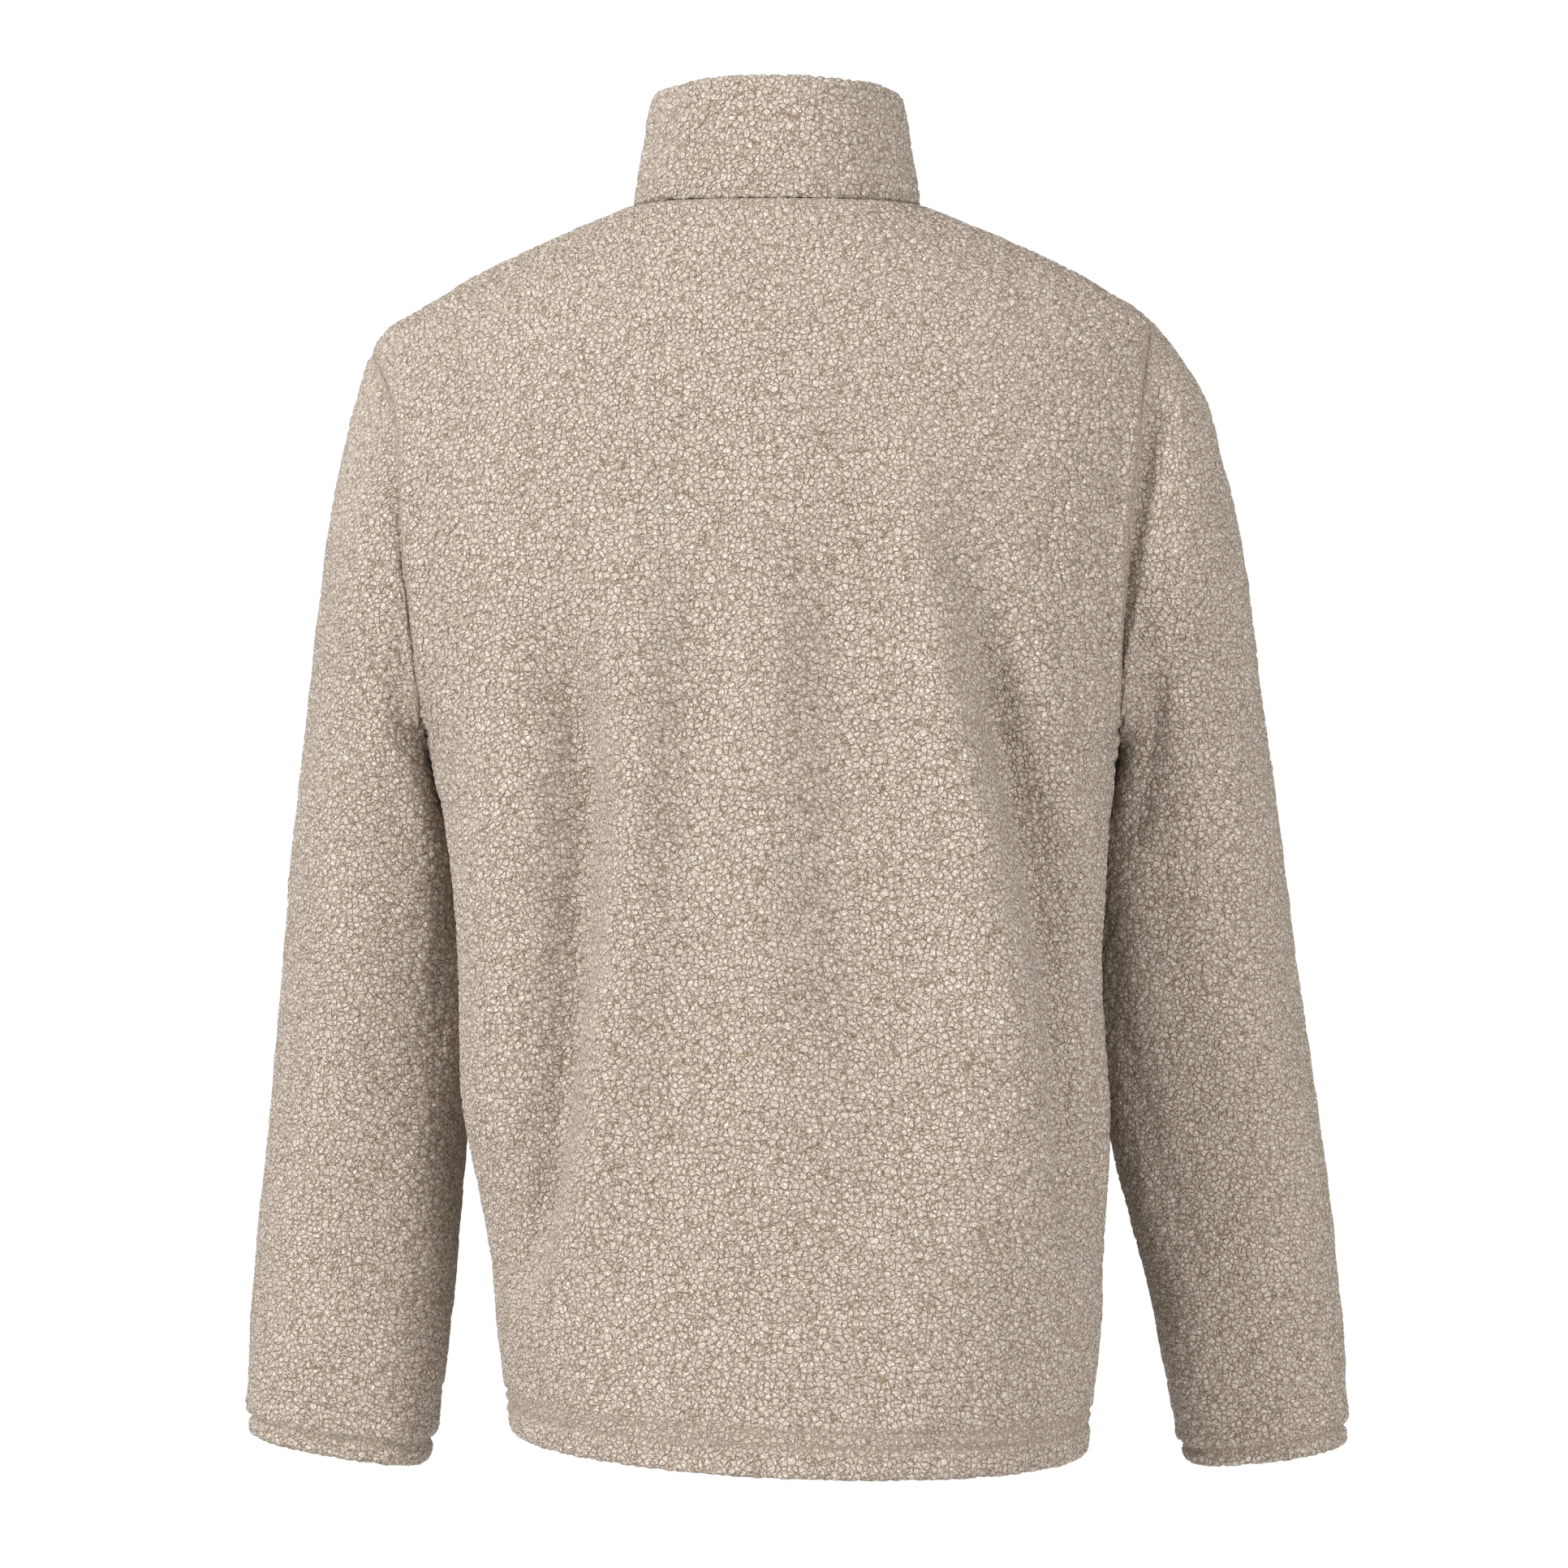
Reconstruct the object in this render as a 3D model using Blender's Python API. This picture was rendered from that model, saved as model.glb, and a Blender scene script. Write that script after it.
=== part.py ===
"""Sherpa fleece jacket with a stand collar, hollow and in its worn form. Metres, +Z up, front towards -Y.

Z is 0 at the centre back of the neck seam and X is 0 at the middle of the neck. +X is the wearer's left. Each panel
is a wall whose outer face is read from rings round the garment, with its folds laid over them.
"""

import bpy
import numpy as np
from mathutils import Matrix

for old in list(bpy.data.objects):
    bpy.data.objects.remove(old, do_unlink=True)

# Cloth: knitted fleece with its curled pile, and the edges where it lies double
WALL = 0.0042
HEM_WALL = 0.0070
COLLAR_WALL = 0.0070
SEAM = 0.0003
# How deep hem and cuffs are turned up, and how far their rows of stitching lie above the edge
HEM_DEPTH = 0.028
HEM_ROWS = (0.0165, 0.0235)
CUFF_DEPTH = 0.019
CUFF_ROWS = (0.0115,)
STITCH_DIP = 0.0012
STITCH_REACH = 0.0022
EDGE_ROUND = 0.0012
# The body along its side: shoulder point, armpit and hem, and how far round the armhole reaches, in quarters
TIP_DOWN = 0.166
PIT_DOWN = 0.375
HEM_DOWN = 0.763
ARMHOLE_BACK = 0.33
ARMHOLE_FRONT = 0.34
ARMHOLE_BOX = 0.15
# The hem hangs higher on the wearer's left, and the right shoulder point sits further up
HEM_TILT = 0.036
RIGHT_RISE = 0.030
# Mesh: steps down the armhole, and columns of each panel
ARMHOLE_STEPS = 11
BACK_COLUMNS = 28
FRONT_COLUMNS = 11
# Columns nearer the middle than this share keep to their line, and those beyond it make room for the armhole
EVEN_SHARE = 0.45
# Centre-front zip
ZIP_OPENING = 0.0090
FACE_EDGE = 0.0160
TAPE_WIDTH = 0.0150
TAPE_SPLIT = 0.0004
TAPE_THICK = 0.0010
TAPE_BEHIND = 0.0006
CHAIN_WIDTH = 0.0056
CHAIN_THICK = 0.0030
CHAIN_OFF_TAPE = 0.0003
ZIP_LOW_END = 0.018


def table(columns, rows):
    """Columns of a table by name, as arrays."""
    return {name: np.array([row[i] for row in rows]) for i, name in enumerate(columns)}


def smooth(keys, values, at):
    """A smooth curve through the values at the keys, straight on beyond the first and the last."""
    at = np.asarray(at, float)
    slope = np.gradient(values, keys)
    inside = np.clip(at, keys[0], keys[-1])
    i = np.clip(np.searchsorted(keys, inside, side="right") - 1, 0, len(keys) - 2)
    span = keys[i + 1] - keys[i]
    s = (inside - keys[i]) / span
    found = (
        values[i] * (1 + 2 * s) * (1 - s) ** 2
        + slope[i] * span * s * (1 - s) ** 2
        + values[i + 1] * s**2 * (3 - 2 * s)
        + slope[i + 1] * span * s**2 * (s - 1)
    )
    return found + (at - inside) * np.where(at < keys[0], slope[0], slope[-1])


def step(value, start, end):
    """0 before start, 1 past end, with soft ends."""
    s = np.clip((value - start) / (end - start), 0, 1)
    return s * s * (3 - 2 * s)


def unit(vectors):
    return vectors / np.maximum(np.linalg.norm(vectors, axis=-1, keepdims=True), 1e-12)


# Rings of the body from the neckline down to the hem. down is the way along the side, half_width and the y columns
# are the ring's size in plan, mid_width is the half width that its quarter points follow, full_ says how boxed each
# half is, shift moves the ring sideways and lean moves its centre front.
RING_COLUMNS = (
    "down", "z_side", "z_back", "z_front", "half_width", "mid_width", "y_back", "y_wide", "y_front", "full_back",
    "full_front", "shift", "lean",
)
BODY = table(
    RING_COLUMNS,
    (
        (0.000, 0.0040, 0.000, -0.062, 0.0800, 0.080, 0.068, -0.004, -0.080, 0.00, 0.00, 0.000, 0.000),
        (0.052, -0.0165, -0.036, -0.092, 0.1300, 0.126, 0.088, -0.004, -0.095, 0.00, 0.00, -0.001, -0.001),
        (0.092, -0.0335, -0.068, -0.119, 0.1662, 0.157, 0.103, -0.004, -0.105, 0.00, 0.00, -0.001, -0.001),
        (0.128, -0.0515, -0.099, -0.146, 0.1965, 0.182, 0.113, -0.004, -0.112, 0.01, 0.01, -0.001, -0.002),
        (0.150, -0.0640, -0.119, -0.163, 0.2170, 0.194, 0.118, -0.004, -0.116, 0.02, 0.02, -0.001, -0.002),
        (0.166, -0.0775, -0.134, -0.175, 0.2260, 0.202, 0.121, -0.004, -0.119, 0.03, 0.02, 0.000, -0.002),
        (0.200, -0.1100, -0.166, -0.203, 0.2300, 0.214, 0.126, -0.002, -0.123, 0.05, 0.03, 0.002, -0.003),
        (0.250, -0.1600, -0.209, -0.239, 0.2250, 0.220, 0.131, 0.001, -0.126, 0.07, 0.03, 0.006, -0.004),
        (0.300, -0.2090, -0.250, -0.273, 0.2150, 0.214, 0.134, 0.006, -0.129, 0.09, 0.03, 0.006, -0.005),
        (0.340, -0.2490, -0.283, -0.302, 0.2030, 0.203, 0.135, 0.012, -0.131, 0.11, 0.03, 0.005, -0.005),
        (0.375, -0.2850, -0.313, -0.329, 0.1900, 0.190, 0.136, 0.020, -0.132, 0.13, 0.02, 0.003, -0.006),
        (0.420, -0.3300, -0.350, -0.361, 0.1820, 0.182, 0.136, 0.031, -0.131, 0.13, 0.00, 0.000, -0.007),
        (0.500, -0.4110, -0.420, -0.427, 0.1740, 0.174, 0.136, 0.043, -0.130, 0.13, 0.00, -0.004, -0.008),
        (0.600, -0.5110, -0.515, -0.517, 0.1745, 0.174, 0.141, 0.040, -0.132, 0.12, 0.00, -0.009, -0.009),
        (0.680, -0.5920, -0.594, -0.594, 0.1675, 0.167, 0.146, 0.028, -0.135, 0.10, 0.03, -0.011, -0.010),
        (0.763, -0.6760, -0.677, -0.675, 0.1590, 0.159, 0.150, 0.012, -0.138, 0.06, 0.05, -0.012, -0.011),
    ),
)
# Rings of the collar from the neckline up, in the same columns
COLLAR = table(
    RING_COLUMNS,
    (
        (0.000, 0.004, 0.0000, -0.062, 0.0800, 0.0800, 0.0680, -0.004, -0.0800, 0.00, 0.00, 0.000, 0.000),
        (0.020, 0.023, 0.0200, -0.041, 0.0770, 0.0770, 0.0668, -0.004, -0.0795, 0.00, 0.00, 0.000, 0.000),
        (0.040, 0.042, 0.0410, -0.020, 0.0735, 0.0735, 0.0652, -0.004, -0.0780, 0.00, 0.00, 0.000, 0.000),
        (0.060, 0.060, 0.0610, 0.002, 0.0700, 0.0700, 0.0632, -0.004, -0.0758, 0.00, 0.00, 0.000, 0.000),
        (0.065, 0.065, 0.0660, 0.008, 0.0680, 0.0680, 0.0615, -0.004, -0.0742, 0.00, 0.00, 0.000, 0.000),
        (0.067, 0.067, 0.0685, 0.010, 0.0650, 0.0650, 0.0588, -0.004, -0.0716, 0.00, 0.00, 0.000, 0.000),
    ),
)
COLLAR_UP = 0.067
# Folds of the body: each runs through four points seen from behind or in front, from its top to its bottom. height is
# out of the cloth where it is over 0 and into it where it is under, and width is its reach to each side.
FOLD_COLUMNS = ("face", "height", "width", "x1", "z1", "x2", "z2", "x3", "z3", "x4", "z4")
BODY_FOLDS = table(
    FOLD_COLUMNS,
    (
        ("back", 0.0040, 0.026, 0.150, -0.285, 0.146, -0.335, 0.150, -0.415, 0.155, -0.505),
        ("back", -0.0085, 0.019, 0.118, -0.225, 0.101, -0.300, 0.103, -0.400, 0.126, -0.545),
        ("back", 0.0055, 0.023, 0.067, -0.190, 0.070, -0.285, 0.074, -0.415, 0.112, -0.600),
        ("back", -0.0045, 0.015, 0.047, -0.130, 0.041, -0.200, 0.040, -0.280, 0.043, -0.360),
        ("back", 0.0030, 0.024, 0.012, -0.170, 0.006, -0.265, 0.008, -0.350, 0.000, -0.450),
        ("back", -0.0050, 0.024, -0.034, -0.190, -0.039, -0.280, -0.046, -0.380, -0.062, -0.530),
        ("back", 0.0050, 0.021, -0.064, -0.140, -0.073, -0.230, -0.090, -0.330, -0.112, -0.480),
        ("back", -0.0105, 0.018, -0.108, -0.220, -0.126, -0.300, -0.146, -0.400, -0.164, -0.580),
        ("back", 0.0035, 0.020, 0.160, -0.140, 0.135, -0.170, 0.105, -0.185, 0.075, -0.200),
        ("back", 0.0030, 0.030, -0.080, -0.550, -0.085, -0.575, -0.088, -0.600, -0.090, -0.620),
        ("front", -0.0060, 0.020, 0.112, -0.215, 0.100, -0.300, 0.098, -0.400, 0.112, -0.540),
        ("front", 0.0045, 0.022, 0.072, -0.200, 0.068, -0.300, 0.070, -0.420, 0.088, -0.590),
        ("front", -0.0035, 0.018, 0.040, -0.260, 0.036, -0.340, 0.034, -0.420, 0.038, -0.520),
        ("front", 0.0040, 0.022, -0.064, -0.190, -0.070, -0.280, -0.078, -0.380, -0.092, -0.520),
        ("front", -0.0070, 0.018, -0.100, -0.225, -0.108, -0.310, -0.120, -0.410, -0.136, -0.560),
        ("front", -0.0035, 0.018, -0.034, -0.300, -0.034, -0.380, -0.040, -0.450, -0.052, -0.540),
    ),
)
FOLD_FADE = 0.055


def ring_form(rings, turn, key):
    """Points on the rings. turn is 0 at the centre back, 1 at the side and 2 at the centre front, under 0 on the right."""
    at = {name: smooth(rings["down"], rings[name], key) for name in RING_COLUMNS[1:]}
    angle = np.abs(turn) * np.pi / 2
    sine = np.sin(angle)
    cosine = np.cos(angle)
    back = np.abs(turn) <= 1
    full = np.where(back, at["full_back"], at["full_front"])
    reach = np.where(back, at["y_back"] - at["y_wide"], at["y_wide"] - at["y_front"])
    z_middle = np.where(back, at["z_back"], at["z_front"])
    width = at["mid_width"] + (at["half_width"] - at["mid_width"]) * sine**8
    middle = np.where(back, at["shift"], at["lean"] + (at["shift"] - at["lean"]) * sine**2)
    x = middle + np.sign(turn) * width * sine * (1 + full * cosine**2)
    y = at["y_wide"] + reach * cosine * (1 + full * sine**2)
    z = at["z_side"] + (z_middle - at["z_side"]) * cosine**2
    return np.stack([x, y, z], axis=-1)


def body_form(turn, down):
    """The body without its folds."""
    points = ring_form(BODY, turn, down)
    points[..., 2] += HEM_TILT * points[..., 0] * step(down, 0.55, HEM_DOWN)
    return points


def collar_form(turn, up):
    return ring_form(COLLAR, turn, up)


def normals(form, around, along, flip=1):
    """Outward directions of a form, from its slopes either way."""
    e = 0.0015
    f = 0.0006
    slope_around = form(around + e, along) - form(around - e, along)
    slope_along = form(around, along + f) - form(around, along - f)
    return unit(np.cross(slope_around, slope_along)) * flip


def stitch_dips(edge_distance, rows):
    """How far the cloth is drawn in at each row of stitching."""
    dip = 0.0
    for row in rows:
        dip = dip + STITCH_DIP * np.exp(-(((edge_distance - row) / STITCH_REACH) ** 2))
    return dip


def edge_height(edge_distance, rows):
    """Height of stitched rows and of the rounded edge below them."""
    return -stitch_dips(edge_distance, rows) - EDGE_ROUND * (1 - step(edge_distance, 0, 0.002))


def fold_height(turn, points):
    """Height of the body's folds over its plain form."""
    height = 0.0
    back_share = 1 - step(np.abs(turn), 0.85, 1.10)
    for i, face in enumerate(BODY_FOLDS["face"]):
        xs = np.array([BODY_FOLDS[f"x{k}"][i] for k in (4, 3, 2, 1)])
        zs = np.array([BODY_FOLDS[f"z{k}"][i] for k in (4, 3, 2, 1)])
        z = points[..., 2]
        across = (points[..., 0] - smooth(zs, xs, np.clip(z, zs[0], zs[-1]))) / BODY_FOLDS["width"][i]
        length = step(z, zs[0] - FOLD_FADE / 2, zs[0] + FOLD_FADE)
        length = length * (1 - step(z, zs[-1] - FOLD_FADE, zs[-1] + FOLD_FADE / 2))
        share = back_share if face == "back" else 1 - back_share
        height = height + BODY_FOLDS["height"][i] * np.exp(-(across**2)) * length * share
    return height


def body(turn, down):
    """The outer face of the body with its folds."""
    turn, down = np.broadcast_arrays(np.asarray(turn, float), np.asarray(down, float))
    points = body_form(turn, down)
    return points + normals(body_form, turn, down) * fold_height(turn, points)[..., None]


def slanted(turn, down):
    """The row that starts at this way down, raised towards the right shoulder."""
    rise = RIGHT_RISE * np.where(down < TIP_DOWN, down / TIP_DOWN, 1 - step(down, TIP_DOWN, PIT_DOWN))
    return down - rise * np.where(turn < 0, np.sin(np.abs(turn) * np.pi / 2) ** 2, 0)


def armhole_turn(angle, reach):
    """How far from the side line the armhole's edge runs, at an angle from its top (0) to its bottom (pi)."""
    return reach * np.sin(angle) * (1 + ARMHOLE_BOX * np.cos(angle) ** 2)


def armhole(side, around):
    """(turn, down) on the edge of an armhole. around is 0 at the shoulder point, 0.25 at the back, 0.5 at the armpit."""
    angle = 2 * np.pi * np.asarray(around, float)
    reach = np.where(np.sin(angle) >= 0, ARMHOLE_BACK, ARMHOLE_FRONT)
    turn = side * (1 - armhole_turn(angle, reach))
    down = TIP_DOWN + (PIT_DOWN - TIP_DOWN) * (1 - np.cos(angle)) / 2
    return turn, slanted(turn, down)


# Sections of each sleeve from the armhole to the cuff: its outermost and innermost points seen from behind, its
# middle and half depth from back to front. along is the way down the outer line.
SLEEVE_COLUMNS = ("along", "x_out", "z_out", "x_in", "z_in", "y_mid", "half_depth")
SLEEVE_LEFT = table(
    SLEEVE_COLUMNS,
    (
        (0.000, 0.2260, -0.0775, 0.1960, -0.2850, -0.002, 0.068),
        (0.040, 0.2368, -0.1140, 0.1945, -0.2910, -0.005, 0.070),
        (0.090, 0.2470, -0.1630, 0.1900, -0.3000, -0.009, 0.072),
        (0.150, 0.2558, -0.2230, 0.1840, -0.3160, -0.018, 0.071),
        (0.210, 0.2635, -0.2830, 0.1765, -0.3400, -0.027, 0.070),
        (0.280, 0.2722, -0.3530, 0.1695, -0.3780, -0.034, 0.068),
        (0.360, 0.2800, -0.4330, 0.1670, -0.4420, -0.044, 0.064),
        (0.440, 0.2880, -0.5130, 0.1757, -0.5160, -0.051, 0.060),
        (0.520, 0.2968, -0.5930, 0.1830, -0.5980, -0.058, 0.056),
        (0.580, 0.3005, -0.6500, 0.1903, -0.6600, -0.062, 0.053),
        (0.618, 0.3005, -0.6840, 0.1980, -0.7010, -0.064, 0.050),
    ),
)
SLEEVE_RIGHT = table(
    SLEEVE_COLUMNS,
    (
        (0.000, -0.2150, -0.0600, -0.1890, -0.2850, -0.002, 0.068),
        (0.040, -0.2400, -0.0960, -0.1885, -0.2910, -0.005, 0.070),
        (0.090, -0.2505, -0.1430, -0.1880, -0.3000, -0.009, 0.072),
        (0.150, -0.2617, -0.2020, -0.1845, -0.3160, -0.018, 0.071),
        (0.210, -0.2703, -0.2620, -0.1795, -0.3400, -0.028, 0.070),
        (0.290, -0.2825, -0.3420, -0.1745, -0.3780, -0.036, 0.068),
        (0.370, -0.2935, -0.4220, -0.1760, -0.4420, -0.044, 0.064),
        (0.450, -0.3060, -0.5020, -0.1880, -0.5160, -0.051, 0.060),
        (0.530, -0.3168, -0.5820, -0.2098, -0.5980, -0.058, 0.056),
        (0.590, -0.3225, -0.6420, -0.2225, -0.6600, -0.062, 0.052),
        (0.640, -0.3235, -0.6900, -0.2320, -0.7010, -0.064, 0.048),
    ),
)
SLEEVE_FULL = 0.05
ARMHOLE_BLEND = 0.130
# Folds of the sleeves, from one place (around, along) to another. side is 1 on the left and -1 on the right.
SLEEVE_FOLDS = table(
    ("side", "height", "width", "around1", "along1", "around2", "along2"),
    (
        (1, -0.0035, 0.040, 0.290, 0.030, 0.330, 0.170),
        (-1, -0.0065, 0.045, 0.300, 0.020, 0.345, 0.260),
        (1, -0.0030, 0.045, 0.400, 0.250, 0.330, 0.420),
        (-1, -0.0045, 0.050, 0.410, 0.300, 0.340, 0.520),
        (1, 0.0030, 0.060, 0.180, 0.200, 0.200, 0.440),
        (-1, 0.0030, 0.060, 0.170, 0.220, 0.190, 0.460),
        (1, -0.0035, 0.045, 0.700, 0.160, 0.620, 0.300),
        (-1, -0.0035, 0.045, 0.710, 0.150, 0.640, 0.320),
        (1, -0.0030, 0.040, 0.800, 0.240, 0.720, 0.330),
        (-1, -0.0030, 0.040, 0.790, 0.250, 0.700, 0.350),
    ),
)
SLEEVE_FADE = 0.040


def sleeve_form(side, around, along):
    """A sleeve without its folds. around is 0 on top, 0.25 at the back, 0.5 at the underarm."""
    sections = SLEEVE_LEFT if side > 0 else SLEEVE_RIGHT

    def tube(around, along):
        at = {name: smooth(sections["along"], sections[name], along) for name in SLEEVE_COLUMNS[1:]}
        angle = 2 * np.pi * around
        sine = np.sin(angle)
        cosine = np.cos(angle)
        major = cosine * (1 + SLEEVE_FULL * sine**2) / 2
        x = (at["x_out"] + at["x_in"]) / 2 + (at["x_out"] - at["x_in"]) * major
        y = at["y_mid"] + at["half_depth"] * sine * (1 + SLEEVE_FULL * cosine**2)
        z = (at["z_out"] + at["z_in"]) / 2 + (at["z_out"] - at["z_in"]) * major
        return np.stack([x, y, z], axis=-1)

    turn, down = armhole(side, around)
    seam = body(turn, down)
    near = 1 - step(along, 0, ARMHOLE_BLEND)
    return tube(around, along) + (seam - tube(around, 0 * along)) * near[..., None]


def sleeve_height(side, around, along):
    """Height of a sleeve's folds over its plain form."""
    height = 0.0
    for i, fold_side in enumerate(SLEEVE_FOLDS["side"]):
        if fold_side != side:
            continue
        start = SLEEVE_FOLDS["along1"][i]
        finish = SLEEVE_FOLDS["along2"][i]
        share = np.clip((along - start) / (finish - start), 0, 1)
        line = SLEEVE_FOLDS["around1"][i] + (SLEEVE_FOLDS["around2"][i] - SLEEVE_FOLDS["around1"][i]) * share
        across = (np.mod(around - line + 0.5, 1) - 0.5) / SLEEVE_FOLDS["width"][i]
        length = step(along, start - SLEEVE_FADE / 2, start + SLEEVE_FADE)
        length = length * (1 - step(along, finish - SLEEVE_FADE, finish + SLEEVE_FADE / 2))
        height = height + SLEEVE_FOLDS["height"][i] * np.exp(-(across**2)) * length
    return height


def sleeve(side, around, along):
    """The outer face of a sleeve with its folds."""
    around, along = np.broadcast_arrays(np.asarray(around, float), np.asarray(along, float))

    def form(around, along):
        return sleeve_form(side, around, along)

    height = sleeve_height(side, around, along)
    return form(around, along) + normals(form, around, along, -side) * height[..., None]


def add_mesh(name, points, faces, material):
    mesh = bpy.data.meshes.new(name)
    mesh.from_pydata([tuple(map(float, p)) for p in points], [], faces)
    mesh.update()
    mesh.polygons.foreach_set("use_smooth", [True] * len(mesh.polygons))
    mesh.materials.append(material)
    obj = bpy.data.objects.new(name, mesh)
    bpy.context.scene.collection.objects.link(obj)
    return obj


def cloth_wall(name, outer, inner, material, tube=False, flip=False):
    """A closed wall between an outer and an inner grid of points. A tube joins its last column to its first."""
    rows, columns = outer.shape[:2]
    points = np.concatenate([outer.reshape(-1, 3), inner.reshape(-1, 3)])
    far = rows * columns
    last = columns if tube else columns - 1
    faces = []
    for r in range(rows - 1):
        for c in range(last):
            a = r * columns + c
            b = r * columns + (c + 1) % columns
            faces.append((a, b, b + columns, a + columns))
            faces.append((far + a, far + a + columns, far + b + columns, far + b))
    for c in range(last):
        a = c
        b = (c + 1) % columns
        faces.append((b, a, far + a, far + b))
        a += (rows - 1) * columns
        b += (rows - 1) * columns
        faces.append((a, b, far + b, far + a))
    if not tube:
        for r in range(rows - 1):
            a = r * columns
            faces.append((a, a + columns, far + a + columns, far + a))
            a += columns - 1
            faces.append((a + columns, a, far + a, far + a + columns))
    if flip:
        faces = [face[::-1] for face in faces]
    return add_mesh(name, points, faces, material)


def plain_material(name, colour, roughness, metallic=0.0):
    material = bpy.data.materials.new(name)
    material.use_nodes = True
    shader = material.node_tree.nodes["Principled BSDF"]
    shader.inputs["Base Color"].default_value = (*colour, 1)
    shader.inputs["Roughness"].default_value = roughness
    shader.inputs["Metallic"].default_value = metallic
    return material


# Oatmeal sherpa on the back, fronts, sleeves and collar, each with its own material
OATMEAL = (0.54, 0.45, 0.37)


# Rows down the body: shoulder, armhole, below the armpit, and closer together over the hem
angles = np.linspace(0, np.pi, ARMHOLE_STEPS + 1)
armhole_rows = TIP_DOWN + (PIT_DOWN - TIP_DOWN) * (1 - np.cos(angles)) / 2
hem_rows = [HEM_DEPTH + 0.002, HEM_ROWS[1], sum(HEM_ROWS) / 2, HEM_ROWS[0], 0.009, 0.0015, 0.0]
body_rows = np.concatenate(
    [
        [0.0, 0.020, 0.052, 0.092, 0.131],
        armhole_rows,
        np.linspace(0.403, 0.715, 12),
        HEM_DOWN - np.array(hem_rows),
    ]
)
TIP_ROW = 5
PIT_ROW = TIP_ROW + ARMHOLE_STEPS


def centre_turn(distance, down, rings=BODY):
    """The turn that lies this distance from the centre-front line."""
    width = smooth(rings["down"], rings["mid_width"], down)
    full = smooth(rings["down"], rings["full_front"], down)
    return 2 - np.arcsin(distance / (width * (1 + full))) * 2 / np.pi


def side_turn(rows, gap_side):
    """The turn of a panel's edge in each row: the side or shoulder seam, or the armhole between them."""
    inside = (rows > TIP_DOWN) & (rows < PIT_DOWN)
    share = np.clip((rows - TIP_DOWN) / (PIT_DOWN - TIP_DOWN), 0, 1)
    angle = np.arccos(1 - 2 * share)
    reach = ARMHOLE_BACK if gap_side < 0 else ARMHOLE_FRONT
    speed = np.linalg.norm(body(1 + 0.01 * gap_side, rows) - body(1.0, rows), axis=-1) / 0.01
    seam = SEAM / 2 / speed
    return 1 + gap_side * np.where(inside, armhole_turn(angle, reach), seam)


def wall_depth(turn, down):
    """Thickness of a body panel: double over the hem, but for the strip beside the zip."""
    beside = np.abs(turn) - centre_turn(0.032, down)
    band = centre_turn(0.018, down) - centre_turn(0.032, down)
    away = 1 - step(beside / band, 0, 1)
    double = step(down, HEM_DOWN - HEM_DEPTH - 0.002, HEM_DOWN - HEM_DEPTH + 0.004) * away
    return WALL + (HEM_WALL - WALL) * double


def mitre(own, other, depth):
    """The way through a wall at a seam, along the middle of the two cloths' directions where they meet softly."""
    agree = (own * other).sum(-1, keepdims=True)
    middle = unit(own + other)
    lean = np.maximum((middle * own).sum(-1, keepdims=True), 0.75)
    share = step(agree, 0.0, 0.5)
    return (own * (1 - share) + middle / lean * share) * -depth


def sleeve_seam(side):
    """Directions round the armhole: the body's and the sleeve's outward ones, and the way off the panel's edge."""
    around = np.arange(2 * ARMHOLE_STEPS) / (2 * ARMHOLE_STEPS)
    turn, down = armhole(side, around)
    on_body = normals(body, turn, down)

    def form(around, along):
        return sleeve(side, around, along)

    on_sleeve = normals(form, around, np.full(around.shape, 0.002), -side)
    edge = body(*armhole(side, around + 0.004)) - body(*armhole(side, around - 0.004))
    off = unit(np.cross(edge, on_body)) * side
    return around, on_body, on_sleeve, off


SEAMS = {side: sleeve_seam(side) for side in (1, -1)}


def neck_mitre(turn):
    """Outward directions of the body and the collar along the neckline."""
    on_body = normals(body, turn, np.full(turn.shape, 0.001))
    on_collar = normals(collar_form, turn, np.full(turn.shape, 0.001), -1)
    return on_body, on_collar


def body_panel(name, turn, material):
    """A panel of the body: its grid of turns over the body's rows."""
    down = slanted(turn, np.broadcast_to(body_rows[:, None], turn.shape))
    out = normals(body, turn, down)
    face = body(turn, down)
    inward = -out * wall_depth(turn, down)[..., None]
    on_body, on_collar = neck_mitre(turn[0])
    inward[0] = mitre(on_body, on_collar, WALL)
    for column, side in ((0, np.sign(turn[PIT_ROW, 0])), (-1, np.sign(turn[PIT_ROW, -1]))):
        if abs(turn[-1, column]) > 1.5:
            continue
        around, on_edge, on_sleeve, _ = SEAMS[int(side)]
        for k in range(ARMHOLE_STEPS + 1):
            on_back = abs(turn[PIT_ROW, column]) < 1
            i = k if on_back else (2 * ARMHOLE_STEPS - k) % (2 * ARMHOLE_STEPS)
            inward[TIP_ROW + k, column] = mitre(on_edge[i], on_sleeve[i], WALL)
    outer = face + out * edge_height(HEM_DOWN - down, HEM_ROWS)[..., None]
    return cloth_wall(name, outer, face + inward, material, flip=turn[-1, 0] > turn[-1, -1])


# Back: one panel from side seam to side seam, with the armholes cut into its edges
back_edge = side_turn(body_rows, -1)
share = np.linspace(-1, 1, BACK_COLUMNS + 1)[None, :]
beyond = np.maximum(np.abs(share) - EVEN_SHARE, 0) / (1 - EVEN_SHARE)
back_turn = np.sign(share) * (np.minimum(np.abs(share), EVEN_SHARE) + beyond * (back_edge[:, None] - EVEN_SHARE))
back = body_panel("back_panel", back_turn, plain_material("back_fleece", OATMEAL, 0.9))

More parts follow.
